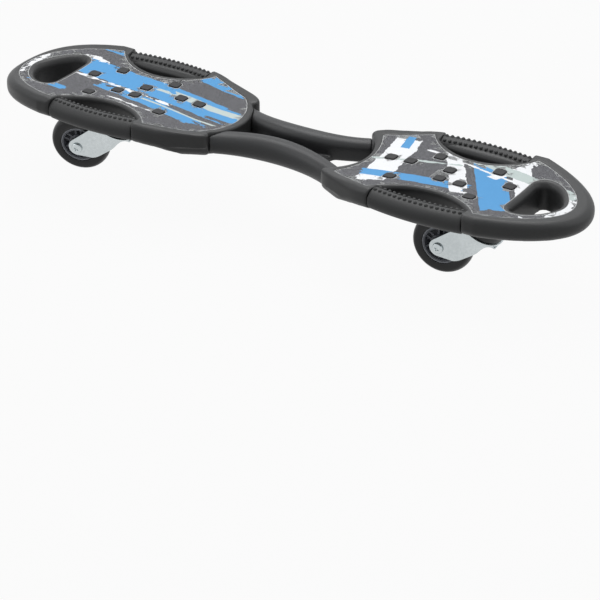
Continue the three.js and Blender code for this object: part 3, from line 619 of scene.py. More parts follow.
# The room under and outside a socket, taken from the deck's corner so that its flank rounds like the arm.
def below_socket():
    around = swept("around", socket_path, plain_ends(-30, 80, 1), 40, oval(2 * socket_foot, 33.2))
    return carve(at_socket(block("below", (-12, 0, -45), (58, 45, 0))), "DIFFERENCE", around)


# How wide a socket's collar is along it: it fades into the deck behind its mouth.
collar_profile = [(FIT, 0), (FIT, 1), (10, 1), (28, 0.97), (39, 0.9), (48, 0.8), (56, 0.64), (56, 0)]


def deck_moulding(end):
    body = rounded_envelope(end)
    body.name = f"{end}_deck_moulding"
    room = plain_ends(-bar_half - FIT, bar_half + FIT, sleeve_radius + FIT)
    sleeve_room = swept("sleeve_room", bar_path, room, 32)
    carve(body, "DIFFERENCE", *both_sides(side_opening()), *both_sides(sleeve_room))
    carve(body, "DIFFERENCE", underside_hollow(end))
    bar = swept("bar", bar_path, plain_ends(-bar_half - 14, bar_half + 14, core_radius), 24)
    collar = swept("collar", socket_path, collar_profile, 40, oval(arm_width + 1, arm_height + 0.2))
    boss = boss_tool("boss", end, boss_radius, 0, foot_height)
    carve(boss, "INTERSECT", field("boss_cap", lambda x, y: 0, raised(-tape_thickness - FIT - 2)))
    socket = carve(socket_block(14), "INTERSECT", rounded_envelope(end))
    rim = prism("rim", grown(hole_outline(end), hole_wall - hole_throat))
    carve(rim, "INTERSECT", field("rim_room", deck_bottom(end, hole_rim), raised(-hole_rim)))
    carve(body, "UNION", *both_sides(bar), *both_sides(collar), *both_sides(socket), boss, rim)
    carve(body, "DIFFERENCE", *both_sides(below_socket()))
    pocket = prism("pocket", grown(tape_outline(end), FIT))
    carve(pocket, "INTERSECT", field("pocket_floor", raised(-tape_thickness - FIT), raised(PAST)))
    carve(body, "DIFFERENCE", pocket)
    lip = prism("lip", grown(hole_outline(end), lip_width))
    carve(lip, "INTERSECT", field("lip_top", raised(-lip_root), raised(lip_rise)))
    carve(body, "UNION", lip)
    tenon_room = tenon_block(-BITE, tenon_length + FIT, FIT)
    bolt_ways = []
    for along in link_bolt_places:
        for radius, low, high in ((5.5, -60, -12.6), (bolt_clearance, -13.6, bolt_end)):
            bolt_ways += both_sides(bolt_way(along, radius, low, high))
    nut_recess = boss_tool("nut_recess", end, nut_room, -BITE, 12)
    carve(body, "DIFFERENCE", carry_hole(end), *both_sides(tenon_room), *bolt_ways, nut_recess)
    return soften(body, voxel=1.35, passes=5, keep=0.42)


def shader_group(name, inputs, outputs):
    group = bpy.data.node_groups.new(name, "ShaderNodeTree")
    for label, value in inputs:
        group.interface.new_socket(label, in_out="INPUT", socket_type="NodeSocketFloat").default_value = value
    for label, kind in outputs:
        group.interface.new_socket(label, in_out="OUTPUT", socket_type=kind)
    return group, group.nodes.new("NodeGroupInput").outputs, group.nodes.new("NodeGroupOutput")


def ramp(tree, source, *stops):
    node = put(tree, "ShaderNodeValToRGB", [(0, source)])
    for element, (position, colour) in zip(node.color_ramp.elements, stops):
        element.position = position
        element.color = (*colour, 1)
    return node.outputs[0]


# Fine grain of a moulded surface: a mask for colour and roughness, and the bumped normal.
grain, grain_in, grain_out = shader_group("moulded_grain", [
    ("Grain per metre", 1400.0), ("Grain depth", 0.15), ("Cloud per metre", 22.0),
], [("Mask", "NodeSocketFloat"), ("Normal", "NodeSocketVector")])
grain_place = put(grain, "ShaderNodeTexCoord").outputs["Object"]
grain_fine, grain_cloud = (
    put(grain, "ShaderNodeTexNoise", [
        ("Vector", grain_place), ("Scale", grain_in[scale]), ("Detail", detail),
    ]).outputs[0]
    for scale, detail in (("Grain per metre", 2), ("Cloud per metre", 4))
)
grain_bump = put(grain, "ShaderNodeBump", [
    ("Height", grain_fine), ("Strength", grain_in["Grain depth"]), ("Distance", 0.0003),
])
fill(grain_out, [
    ("Mask", maths(grain, "MULTIPLY", maths(grain, "ADD", grain_fine, grain_cloud), 0.5)),
    ("Normal", grain_bump.outputs[0]),
])


def moulded(name, dark, light, roughness, grain_size=1400, depth=0.15, metallic=0.0, spread=0.08):
    made, tree, bsdf = new_material(name)
    surface = put(tree, "ShaderNodeGroup", [
        ("Grain per metre", grain_size), ("Grain depth", depth),
    ], node_tree=grain).outputs
    rough = put(tree, "ShaderNodeMapRange", [
        ("Value", surface["Mask"]), ("From Min", 0.3), ("From Max", 0.7),
        ("To Min", roughness - spread), ("To Max", roughness + spread),
    ])
    fill(bsdf, [
        ("Base Color", ramp(tree, surface["Mask"], (0.35, dark), (0.65, light))),
        ("Metallic", metallic),
        ("Roughness", rough.outputs[0]),
        ("Specular IOR Level", 0.5 if metallic else 0.32),
        ("Normal", surface["Normal"]),
    ])
    return made


deck_plastic = moulded("deck_plastic", (0.024, 0.0245, 0.025), (0.035, 0.0355, 0.036), 0.42)
for end, mirror in END_MIRRORS.items():
    deck_name = f"{end}_deck"
    dressed(deck_moulding(end), mirror, deck_name, deck_plastic, "deck_plastic", deck_name)

# --- Foot pads ---
# Ten small raised plastic pads on each deck stand up through windows in the grip tape. They belong to the
# moulding, with softly domed tops and rounded corners, and they lie square to the dished surface.
pad_length, pad_width, pad_corner = 14.4, 13.4, 3.4
pad_start, pad_pitch, pad_half_pitch = 142.5, 27.4, 12.9
pad_spots = [
    Vector((pad_start + along * pad_pitch, across * pad_half_pitch)) for along, across in (
        (0, 1), (1, 1), (1, -3), (2, 3), (3, 1), (3, -1), (4, -1), (5, -3), (5, 3), (6, 1),
    )
]


def pad_outline(margin, corner=pad_corner, steps=6):
    half_length, half_width = pad_length / 2 + margin, pad_width / 2 + margin
    points = []
    for sx, sy, start in ((1, 1, 0), (-1, 1, 90), (-1, -1, 180), (1, -1, 270)):
        middle = Vector((sx * (half_length - corner), sy * (half_width - corner)))
        for i in range(steps + 1):
            a = radians(start + 90 * i / steps)
            points.append(middle + corner * Vector((cos(a), sin(a))))
    return points


def surface_normal(x, y):
    along = (foot_surface(x + 1, y) - foot_surface(x - 1, y)) / 2
    across = (foot_surface(x, y + 1) - foot_surface(x, y - 1)) / 2
    return Vector((-along, -across, 1)).normalized()


def asked(tree, entry, label, kind):
    tree.interface.new_socket(label, in_out="INPUT", socket_type=kind)
    return entry.outputs[label]


# Places a given form on every point of a mesh, its Z along the point's "facing".
def repeat_tree(name, build):
    tree = bpy.data.node_groups.new(name, "GeometryNodeTree")
    entry = tree.nodes.new("NodeGroupInput")
    points = asked(tree, entry, "Geometry", "NodeSocketGeometry")
    tree.interface.new_socket("Geometry", in_out="OUTPUT", socket_type="NodeSocketGeometry")
    facing = put(tree, "GeometryNodeInputNamedAttribute", [("Name", "facing")], data_type="FLOAT_VECTOR")
    turn = put(tree, "FunctionNodeAlignRotationToVector", [("Vector", facing.outputs[0])], axis="Z")
    spread = put(tree, "GeometryNodeInstanceOnPoints", [
        ("Points", points), ("Instance", build(tree, entry)), ("Rotation", turn.outputs[0]),
    ])
    real = put(tree, "GeometryNodeRealizeInstances", [("Geometry", spread.outputs[0])])
    put(tree, "NodeGroupOutput", [(0, real.outputs[0])])
    return tree


def copied_form(tree, entry):
    form = asked(tree, entry, "Form", "NodeSocketObject")
    return put(tree, "GeometryNodeObjectInfo", [("Object", form)]).outputs["Geometry"]


copies = repeat_tree("copies_on_points", copied_form)


def repeated(name, spots, tree, inputs):
    """One copy of a tree's form at each of the (place, facing) spots."""
    carrier = piece_from(name, [spot for spot, _ in spots], [])
    facing = carrier.data.attributes.new("facing", "FLOAT_VECTOR", "POINT")
    for i, (_, direction) in enumerate(spots):
        facing.data[i].vector = direction
    grow = carrier.modifiers.new("repeat", "NODES")
    grow.node_group = tree
    for socket in tree.interface.items_tree:
        if socket.in_out == "INPUT" and socket.name in inputs:
            grow[socket.identifier] = inputs[socket.name]
    return settle(carrier)


pad_plastic = moulded("pad_plastic", (0.012, 0.012, 0.013), (0.02, 0.02, 0.021), 0.6, 1800, 0.25)
pad_form = stack("pad_form", [
    level(pad_outline(0), -1.6), level(pad_outline(0), 0.9), level(pad_outline(-0.12), 1.25),
    level(pad_outline(-0.5), 1.55), level(pad_outline(-1.2, 2.6), 1.7), level(pad_outline(-3.5, 1.5), 1.78),
])
for end, sign in ENDS.items():
    spots = []
    for spot in pad_spots:
        normal = surface_normal(spot.x, spot.y)
        place = (sign * spot.x, spot.y, foot_surface(spot.x, spot.y))
        spots.append((place, Vector((sign * normal.x, normal.y, normal.z))))
    pads = shaded(repeated(f"{end}_foot_pads", spots, copies, {"Form": pad_form}))
    dressed(pads, IN_PLACE, f"{end}_deck", pad_plastic, "deck_plastic")
drop(pad_form)

# --- Grip tape ---
# A gritty printed sheet in the pocket of each deck, with a window for every pad and one for the carry hole.
# Its cut edge shows as a pale line. The print is a generic one: torn blue bars, white patches and grey-green
# streaks on dark grit, laid out afresh for each deck.
grit, grit_in, grit_out = shader_group("grit", [("Grit per metre", 1500.0)], [
    ("Sparkle", "NodeSocketFloat"), ("Normal", "NodeSocketVector"),
])
grit_place = put(grit, "ShaderNodeTexCoord").outputs["Object"]
grit_noise = put(grit, "ShaderNodeTexNoise", [
    ("Vector", grit_place), ("Scale", grit_in[0]), ("Detail", 1),
]).outputs[0]
grit_sharp = put(grit, "ShaderNodeMapRange", [("Value", grit_noise), ("From Min", 0.42), ("From Max", 0.68)])
grit_bump = put(grit, "ShaderNodeBump", [("Height", grit_noise), ("Strength", 0.5), ("Distance", 0.0004)])
fill(grit_out, [("Sparkle", grit_sharp.outputs[0]), ("Normal", grit_bump.outputs[0])])

# One torn bar: a straight band with a start and an end, whose edges a noise tears.
BAR_SIZES = ("Middle", "Half width", "Centre", "Half length", "Side tear", "End tear")
bar_group, bar_in, bar_out = shader_group("torn_bar", [
    ("Across", 0.0), ("Along", 0.0), ("Torn", 0.0), *zip(BAR_SIZES, (0.0, 0.01, 0.0, 0.1, 0.002, 0.01)),
], [("Mask", "NodeSocketFloat")])


def inside(value, middle, half, tear):
    """How far a point is inside a pair of torn edges."""
    away = maths(bar_group, "ABSOLUTE", maths(bar_group, "SUBTRACT", bar_in[value], bar_in[middle]))
    depth = maths(bar_group, "SUBTRACT", bar_in[half], away)
    return maths(bar_group, "MULTIPLY_ADD", bar_in["Torn"], bar_in[tear], depth)


bar_side = inside("Across", "Middle", "Half width", "Side tear")
bar_ends = inside("Along", "Centre", "Half length", "End tear")
bar_least = maths(bar_group, "MINIMUM", bar_side, bar_ends)
fill(bar_out, [("Mask", maths(bar_group, "GREATER_THAN", bar_least, 0.0))])

PRINT_BLUE = (0.09, 0.31, 0.6, 1)
PRINT_WHITE = (0.82, 0.83, 0.84, 1)
PRINT_SAGE = (0.5, 0.57, 0.55, 1)
tape_prints = {
    "front": (24, 0.8, [
        # colour, turn in degrees, then the sizes of BAR_SIZES in millimetres
        (PRINT_WHITE, 96, -146, 18, -10, 64, 4, 30),
        (PRINT_BLUE, 9, -60, 10, 190, 70, 2, 20),
        (PRINT_BLUE, 122, -246, 19, -120, 100, 1, 8),
        (PRINT_WHITE, 122, -205, 11, -104, 62, 3, 30),
        (PRINT_WHITE, 122, -284, 12, -165, 60, 2, 34),
        (PRINT_WHITE, 60, -230, 6, 190, 30, 2, 24),
        (PRINT_SAGE, -10, 94, 9, 290, 90, 4, 20),
        (PRINT_WHITE, -10, 78, 2, 250, 90, 3, 30),
        (PRINT_BLUE, 100, -150, 6, 40, 26, 1, 12),
        (PRINT_SAGE, 14, -26, 2, 180, 60, 3, 30),
        (PRINT_WHITE, 90, -388, 8, -20, 40, 12, 20),
    ]),
    "rear": (61, 0.35, [
        (PRINT_BLUE, 174, 6, 20, 225, 120, 4, 60),
        (PRINT_BLUE, 174, 4, 15, 120, 60, 1, 30),
        (PRINT_SAGE, 174, 0, 6, 135, 70, 2, 50),
        (PRINT_BLUE, 170, 56, 10, 190, 80, 3, 50),
        (PRINT_SAGE, 174, 38, 1.6, 150, 60, 1, 30),
        (PRINT_WHITE, 174, 30, 1, 270, 90, 10, 60),
        (PRINT_WHITE, 174, -16, 1, 290, 70, 11, 50),
        (PRINT_WHITE, 174, 62, 0, 200, 80, 8, 40),
        (PRINT_BLUE, 166, -100, 9, 330, 60, 2, 30),
        (PRINT_BLUE, 174, -54, 9, 150, 45, 3, 40),
        (PRINT_BLUE, 174, -46, 6, 320, 40, 3, 30),
        (PRINT_BLUE, 174, 80, 6, 340, 30, 1, 20),
        (PRINT_WHITE, 90, 396, 4, 0, 50, 10, 20),
    ]),
}


def layered(tree, share, under, over, blend="MIX"):
    inputs = [(0, share), (6, under), (7, over)]
    return put(tree, "ShaderNodeMix", inputs, data_type="RGBA", blend_type=blend).outputs[2]


def tape_print(name, seed, stretch, bars):
    made, tree, bsdf = new_material(name)
    surface = put(tree, "ShaderNodeGroup", node_tree=grit).outputs
    place = put(tree, "ShaderNodeTexCoord").outputs["Object"]
    spread = put(tree, "ShaderNodeMapping", [
        ("Vector", place), ("Location", (seed * 0.37, seed * 0.11, 0)), ("Scale", (stretch, 1, 1)),
    ])
    tear = put(tree, "ShaderNodeTexNoise", [
        ("Vector", spread.outputs[0]), ("Scale", 70), ("Detail", 6), ("Roughness", 0.62),
    ])
    torn = maths(tree, "MULTIPLY", maths(tree, "SUBTRACT", tear.outputs[0], 0.5), 3.0)
    colour = ramp(tree, surface["Sparkle"], (0, (0.022, 0.022, 0.024)), (1, (0.25, 0.25, 0.265)))
    for shade, turn, *sizes in bars:
        turned = put(tree, "ShaderNodeMapping", [
            ("Vector", place), ("Rotation", (0, 0, radians(turn))),
        ], vector_type="TEXTURE")
        parts = put(tree, "ShaderNodeSeparateXYZ", [(0, turned.outputs[0])]).outputs
        mask = put(tree, "ShaderNodeGroup", [
            ("Across", parts[1]), ("Along", parts[0]), ("Torn", torn),
            *zip(BAR_SIZES, (size * MM for size in sizes)),
        ], node_tree=bar_group)
        colour = layered(tree, mask.outputs[0], colour, shade)
    dusted = layered(tree, surface["Sparkle"], colour, (0.86, 0.87, 0.9, 1), "MULTIPLY")
    fill(bsdf, [("Base Color", dusted), ("Roughness", 0.85), ("Normal", surface["Normal"])])
    return made


hole_gap, window_gap, window_corner = 1.7, 0.75, 3.9


# The sheet set back from all its edges by a margin.
def tape_sheet(end, margin):
    sheet = prism("tape_sheet", grown(tape_outline(end), -margin))
    carve(sheet, "INTERSECT", field("tape_body", raised(-tape_thickness), foot_surface))
    windows = [prism("hole_window", grown(hole_outline(end), hole_gap + margin))]
    window = pad_outline(window_gap + margin, window_corner + margin)
    windows += [prism("window", [p + spot for p in window]) for spot in pad_spots]
    return carve(sheet, "DIFFERENCE", *windows)


tape_edge = moulded("tape_cut_edge", (0.42, 0.43, 0.43), (0.55, 0.56, 0.56), 0.7)
edge_width = 0.7
for end, mirror in END_MIRRORS.items():
    tape = tape_sheet(end, edge_width)
    border = carve(tape_sheet(end, 0), "DIFFERENCE", tape_sheet(end, edge_width))
    printed = tape_print(f"{end}_tape_print", *tape_prints[end])
    for part, label, finish in ((tape, "tape_sheet", printed), (border, "tape_edge", tape_edge)):
        part.name = f"{end}_{label}"
        dressed(part, mirror, f"{end}_deck", finish, "grip_tape")
        for polygon in part.data.polygons:
            polygon.use_smooth = abs(polygon.normal.z) > 0.5
        part.data.set_sharp_from_angle(angle=radians(40))
    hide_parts(f"{end}_grip_tape")

# --- Side sleeves ---
# A soft sleeve closes round each moulded bar, with two rows of little round nubs for the fingers, and a
# small radius where its ends butt against the deck's shoulders.
nub_count, nub_pitch, nub_radius, nub_height, nub_sunk = 17, 7.2, 2.5, 2.7, 0.35
nub_leans = (10, -32)  # degrees outwards from the top


def nub_form(tree, entry):
    radius, height = (asked(tree, entry, label, "NodeSocketFloat") for label in ("Nub radius", "Nub height"))
    ball = put(tree, "GeometryNodeMeshUVSphere", [("Segments", 12), ("Rings", 8), ("Radius", 1)])
    size = put(tree, "ShaderNodeCombineXYZ", [(0, radius), (1, radius), (2, height)])
    return put(tree, "GeometryNodeTransform", [
        ("Geometry", ball.outputs["Mesh"]), ("Scale", size.outputs[0]),
    ]).outputs[0]


nubs_tree = repeat_tree("rows_of_nubs", nub_form)
nub_sizes = {"Nub radius": nub_radius * MM, "Nub height": nub_height * MM}
soft_sleeve = moulded("soft_sleeve", (0.027, 0.0275, 0.028), (0.041, 0.0415, 0.042), 0.55, 1100, 0.3)
sleeve_end, sleeve_bore, sleeve_round, sleeve_steps = bar_half - FIT, core_radius + FIT, 1.2, 40
sleeve_profile = [
    (-sleeve_end, sleeve_bore), (-sleeve_end, sleeve_radius - sleeve_round),
    (-sleeve_end + 0.35, sleeve_radius - 0.4), (-sleeve_end + sleeve_round, sleeve_radius),
    *[
        (-sleeve_end + sleeve_round + 2 * (sleeve_end - sleeve_round) * i / sleeve_steps, sleeve_radius)
        for i in range(1, sleeve_steps)
    ],
    (sleeve_end - sleeve_round, sleeve_radius), (sleeve_end - 0.35, sleeve_radius - 0.4),
    (sleeve_end, sleeve_radius - sleeve_round), (sleeve_end, sleeve_bore),
    *[(sleeve_end - 2 * sleeve_end * i / sleeve_steps, sleeve_bore) for i in range(1, sleeve_steps)],
]
nub_spots = []
for lean in nub_leans:
    for i in range(nub_count):
        centre, along = bar_path((i - (nub_count - 1) / 2) * nub_pitch)
        outward = Vector((0, 0, 1)).cross(along)
        facing = outward * sin(radians(lean)) + Vector((0, 0, cos(radians(lean))))
        nub_spots.append((centre + facing * (sleeve_radius - nub_sunk), facing))
for end, sign in ENDS.items():
    for side, hand in SIDES.items():
        sleeve = shaded(swept(f"{end}_{side}_sleeve", bar_path, sleeve_profile, 56))
        nubs = shaded(repeated(f"{end}_{side}_nubs", nub_spots, nubs_tree, nub_sizes))
        turn = Matrix.Diagonal((sign, hand, 1, 1))
        dressed(sleeve, turn, f"{end}_deck", soft_sleeve, "soft_grip", f"{end}_side_grip_{side}")
        dressed(nubs, turn, f"{end}_deck", soft_sleeve, "soft_grip")

# --- Springy link ---
# Two bowed arms of oval section joined by a low web, in one glass-filled nylon moulding. Its
# square tenons are bolted into the decks. The real link twists as the decks lean against each other; this one
# keeps its resting shape.
web_half, web_hollow, web_thickness = 64, 12, 7
arm_waist, arm_swell, arm_arch = 0.93, 0.15, 1.2
arm_reach = arm_radius * arm_angle


def arm_path(s):
    angle = s / arm_radius
    centre = Vector((arm_radius * sin(angle), arm_pinch + arm_radius * (1 - cos(angle)), arm_level))
    return centre, Vector((cos(angle), sin(angle), 0))


# An oval whose lower half is flat and deep on the side that faces the other arm.
def arm_section(a):
    across, up = oval(arm_width, arm_height)(a)
    if sin(a) <= 0:
        return across, up
    square = 0.45 if cos(a) < 0 else 0.8
    return across * sin(a) ** (square - 1), up * max(1e-6, abs(cos(a))) ** (square - 1)


def arched_arm_path(s):
    centre, along = arm_path(s)
    return centre + Vector((0, 0, arm_arch * cos(pi * s / (2 * arm_reach)) ** 2)), along


link_plastic = moulded("link_plastic", (0.027, 0.0275, 0.0285), (0.038, 0.0385, 0.04), 0.42, 1200, 0.12)
arm_profile = [
    (-arm_reach, 0), (-arm_reach, arm_waist),
    *[(arm_reach * i / 30, arm_waist + arm_swell * cos(pi * i / 60) ** 2) for i in range(-29, 30)],
    (arm_reach, arm_waist), (arm_reach, 0),
]
link = swept("link_moulding", arched_arm_path, arm_profile, 48, arm_section)
web_side = [arm_path(web_half * (1 - 2 * i / 16))[0].to_2d() for i in range(17)]
web_corner = web_side[0]
end_bow = bezier([(web_corner.x, -web_corner.y), (web_half - 2 * web_hollow, 0), web_corner], 12)[1:-1]
web_outline = [
    *web_side,
    *[-p for p in end_bow],
    *[Vector((p.x, -p.y)) for p in reversed(web_side)],
    *end_bow,
]
web_bottom = arm_level - arm_height / 2 + BITE
web = prism("web", web_outline, web_bottom, web_bottom + web_thickness)
tenon = tenon_block(-BITE, tenon_length, 0)
tenon_back = mirrored(tenon, FORE_AFT)
carve(link, "UNION", mirrored(link, LEFT_RIGHT), web, *both_sides(tenon), *both_sides(tenon_back))
bolt_ways = []
for along in link_bolt_places:
    bolt_ways += both_sides(bolt_way(along, bolt_clearance, -20, bolt_end))
bolt_ways += [mirrored(way, FORE_AFT) for way in list(bolt_ways)]
rear_nose = rounded_envelope("rear", 0.4)
carve(rear_nose, "DIFFERENCE", *both_sides(tenon_block(0, 60, 2 * FIT)))
moved(rear_nose, FORE_AFT)
carve(link, "DIFFERENCE", *bolt_ways, rear_nose)
painted(soften(link, voxel=1.2, passes=5, keep=0.45), link_plastic)
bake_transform(link)
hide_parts("flex_link")

# --- Swivel casters ---
# Under each deck a bright zinc-plated caster stands on an inclined boss: a round mounting plate with four
# countersunk screws and a pressed skirt over a ring of steel balls, and a kingpin through the fork's crown.
zinc = moulded("zinc_plate", (0.5, 0.54, 0.55), (0.6, 0.64, 0.65), 0.24, 300, 0.004, 1.0, spread=0.04)
bearing_steel = moulded("bearing_steel", (0.5, 0.5, 0.5), (0.62, 0.62, 0.62), 0.2, 900, 0.02, 1.0)
axle_trail, axle_depth, crown_top = 26.5, 56, 8.7
screw_circle, ball_circle, ball_radius, ball_count, ball_drop = 24, 14, 2.5, 12, 6
caster_turns = {"front": radians(5), "rear": radians(18)}


def mount_frame(end):
    station = ENDS[end] * boss_stations[end] * MM
    return Matrix.Translation((station, 0, face_height * MM)) @ Matrix.Rotation(boss_tilt, 4, "Y")


def axle_frame(end):
    turn = Matrix.Rotation(caster_turns[end], 4, "Z")
    return mount_frame(end) @ turn @ Matrix.Translation((-axle_trail * MM, 0, -axle_depth * MM))


def across_path(s):
    return Vector((0, s, 0)), Vector((0, 1, 0))


def lathe(name, profile, sides=64):
    return shaded(swept(name, across_path, profile, sides), EDGE_ANGLE)


def upright(piece):
    return moved(piece, Matrix.Rotation(pi / 2, 4, "X"))


# Copies of a form round a caster's kingpin.
def ring_of(name, form, count, radius):
    spots = [(spot.to_3d(), Vector((0, 0, 1))) for spot in circle(radius, 0, count)]
    return repeated(name, spots, copies, {"Form": form})


screw_form = upright(lathe("screw_form", [
    (-3.3, 0), (-3.3, 0.5), (-3.1, 2.9), (-2.95, 3.35), (-2.6, 3.4), (-1.7, 2.2),
    (12.5, 2.2), (13, 1.6), (13, 0),
], 24))
screw_slots = [block("recess", (-a, -b, -6), (a, b, -2.4)) for a, b in ((2, 0.45), (0.45, 2))]
carve(screw_form, "DIFFERENCE", *screw_slots)
ball_turns = [radians(a) for a in range(-90, 91, 15)]
ball_arc = [(ball_radius * sin(a), ball_radius * cos(a)) for a in ball_turns]
ball_form = lathe("ball_form", ball_arc, 20)
for end in ENDS:
    place, deck_body = mount_frame(end), f"{end}_deck"
    plate = upright(lathe(f"{end}_mount_plate", [
        (-0.3, 5.3), (-0.3, 30.9), (-0.6, 31.5), (-2.8, 31.5), (-3.3, 31), (-3.3, 21.4), (-3.8, 20.6),
        (-6.6, 20.5), (-6.9, 20.2), (-6.9, 19.3), (-6.6, 19), (-3.3, 19), (-3.3, 5.3),
    ], 96))
    ways = []
    for i in range(4):
        a = radians(45 + 90 * i)
        way = upright(lathe("way", [(-4, 0), (-4, 3.7), (-3.3, 3.7), (-1.5, 2.5), (2, 2.5), (2, 0)], 24))
        ways.append(moved(way, Matrix.Translation(screw_circle * MM * Vector((cos(a), sin(a), 0)))))
    carve(plate, "DIFFERENCE", *ways)
    dressed(plate, place, deck_body, zinc, "zinc_steel", f"{end}_base_plate")
    screws = ring_of(f"{end}_plate_screws", screw_form, 4, screw_circle)
    screw_place = place @ Matrix.Rotation(radians(45), 4, "Z")
    screw_nodes = [f"{end}_plate_screw_{i}" for i in range(1, 5)]
    dressed(screws, screw_place, deck_body, zinc, "zinc_steel", *screw_nodes)
    balls = ring_of(f"{end}_swivel_balls", ball_form, ball_count, ball_circle)
    cage = upright(lathe("cage", [(-0.5, 12.2), (-0.5, 15.8), (0.5, 15.8), (0.5, 12.2)], 64))
    carve(balls, "UNION", cage)
    ball_place = place @ Matrix.Translation((0, 0, -ball_drop * MM))
    dressed(balls, ball_place, deck_body, bearing_steel, "bearing_steel", f"{end}_ball_ring")
    pin = upright(lathe(f"{end}_swivel_pin", [
        (-15.5, 0), (-15.5, 7.2), (-15.1, 8.3), (-14.4, 8.7), (-12.2, 8.7), (-11.5, 8.2), (-11.5, 5),
        (9.4, 5), (10, 4.4), (10, 0),
    ], 48))
    dressed(pin, place, deck_body, zinc, "zinc_steel", f"{end}_kingpin")
drop(screw_form, ball_form)

# --- Forks ---
# One piece of 2.5 mm steel sheet, blanked and bent: a flat crown under the balls and a leg each side of the
# wheel, with a rounded lower end at the axle. The front part of each leg is bent inwards a little.
sheet, fork_half = 2.5, 15.5
fork_top = axle_depth - crown_top
rear_top, front_top = Vector((axle_trail - 19, fork_top)), Vector((axle_trail + 30, fork_top))
knee, shin, throat = Vector((28, -0.5)), Vector((42, 25)), Vector((45, fork_top - sheet))
foot_radius, leg_turn, leg_soft = 12, tan(radians(12)), 2.5


def touch(source, side):
    angle = atan2(source.y, source.x) + side * acos(foot_radius / source.length)
    return angle if angle >= 0 or side < 0 else angle + 2 * pi


def leg_outline():
    start = touch(rear_top, 1)
    stop = touch(knee, -1)
    if stop < start:
        stop += 2 * pi
    turns = [start + (stop - start) * i / 28 for i in range(29)]
    foot = [Vector((foot_radius * cos(a), foot_radius * sin(a))) for a in turns]
    turn = bezier([knee.lerp(foot[-1], 0.25), knee, knee.lerp(shin, 0.25)], 8)
    calf = bezier([shin.lerp(knee, 0.2), shin, shin.lerp(throat, 0.2)], 6)
    lip = bezier([calf[-1], throat, (front_top.x - sheet, throat.y)], 10)[1:]
    return [rear_top, *foot, *turn, *calf, *lip, front_top]


bend_top, bend_foot = Vector((11.4, fork_top)), Vector((23.9, -3.0))
bend_along = (bend_top - bend_foot).normalized()


def turned_in(x, z):
    ahead = (x - bend_foot.x) * bend_along.y - (z - bend_foot.y) * bend_along.x
    if ahead < -leg_soft:
        return 0
    if ahead < leg_soft:
        return leg_turn * (ahead + leg_soft) ** 2 / (4 * leg_soft)
    return leg_turn * ahead


def fork_leg():
    outline = leg_outline()
    points = [(p.x, fork_half + sheet, p.y) for p in outline] + [(p.x, fork_half, p.y) for p in outline]
    count = len(outline)
    faces = [tuple(range(count)), tuple(reversed(range(count, 2 * count)))]
    faces += [(i, count + i, count + (i + 1) % count, (i + 1) % count) for i in range(count)]
    leg = piece_from("leg", points, faces)
    form = bmesh.new()
    form.from_mesh(leg.data)
    bmesh.ops.recalc_face_normals(form, faces=form.faces)
    across = Vector((bend_along.y, 0, -bend_along.x))
    for step in range(-3, 4):
        bmesh.ops.bisect_plane(
            form, geom=[*form.verts, *form.edges, *form.faces], dist=1e-7,
            plane_co=(Vector((bend_foot.x, 0, bend_foot.y)) + across * step) * MM, plane_no=across,
        )
    for vertex in form.verts:
        vertex.co.y -= turned_in(vertex.co.x / MM, vertex.co.z / MM) * MM
    bmesh.ops.triangulate(form, faces=form.faces)
    form.to_mesh(leg.data)
    form.free()
    return leg


def fork_form(name):
    left = fork_leg()
    outer = fork_half + sheet
    crown_half = [
        Vector((front_top.x, outer - turned_in(front_top.x, fork_top))),
        Vector((bend_top.x, outer)),
        Vector((rear_top.x, outer)),
    ]
    crown_outline = [*crown_half, *[Vector((p.x, -p.y)) for p in reversed(crown_half)]]
    crown = prism("crown", crown_outline, fork_top - sheet, fork_top)
    made = mirrored(left, LEFT_RIGHT, name)
    carve(made, "UNION", left, crown)
    pin_way = prism("pin_way", circle(5.3, axle_trail), 0, 60)
    axle_way = lathe("axle_way", [(-40, 0), (-40, 4), (40, 4), (40, 0)], 32)
    carve(made, "DIFFERENCE", pin_way, axle_way)
    return soften(made, voxel=0.55, passes=6, keep=0.35)


fork_made = fork_form("fork_work")
for end in ENDS:
    fork = placed(f"{end}_fork_sheet", fork_made.data.copy())
    dressed(fork, axle_frame(end), f"{end}_swivel", zinc, "zinc_steel", f"{end}_fork")
drop(fork_made)

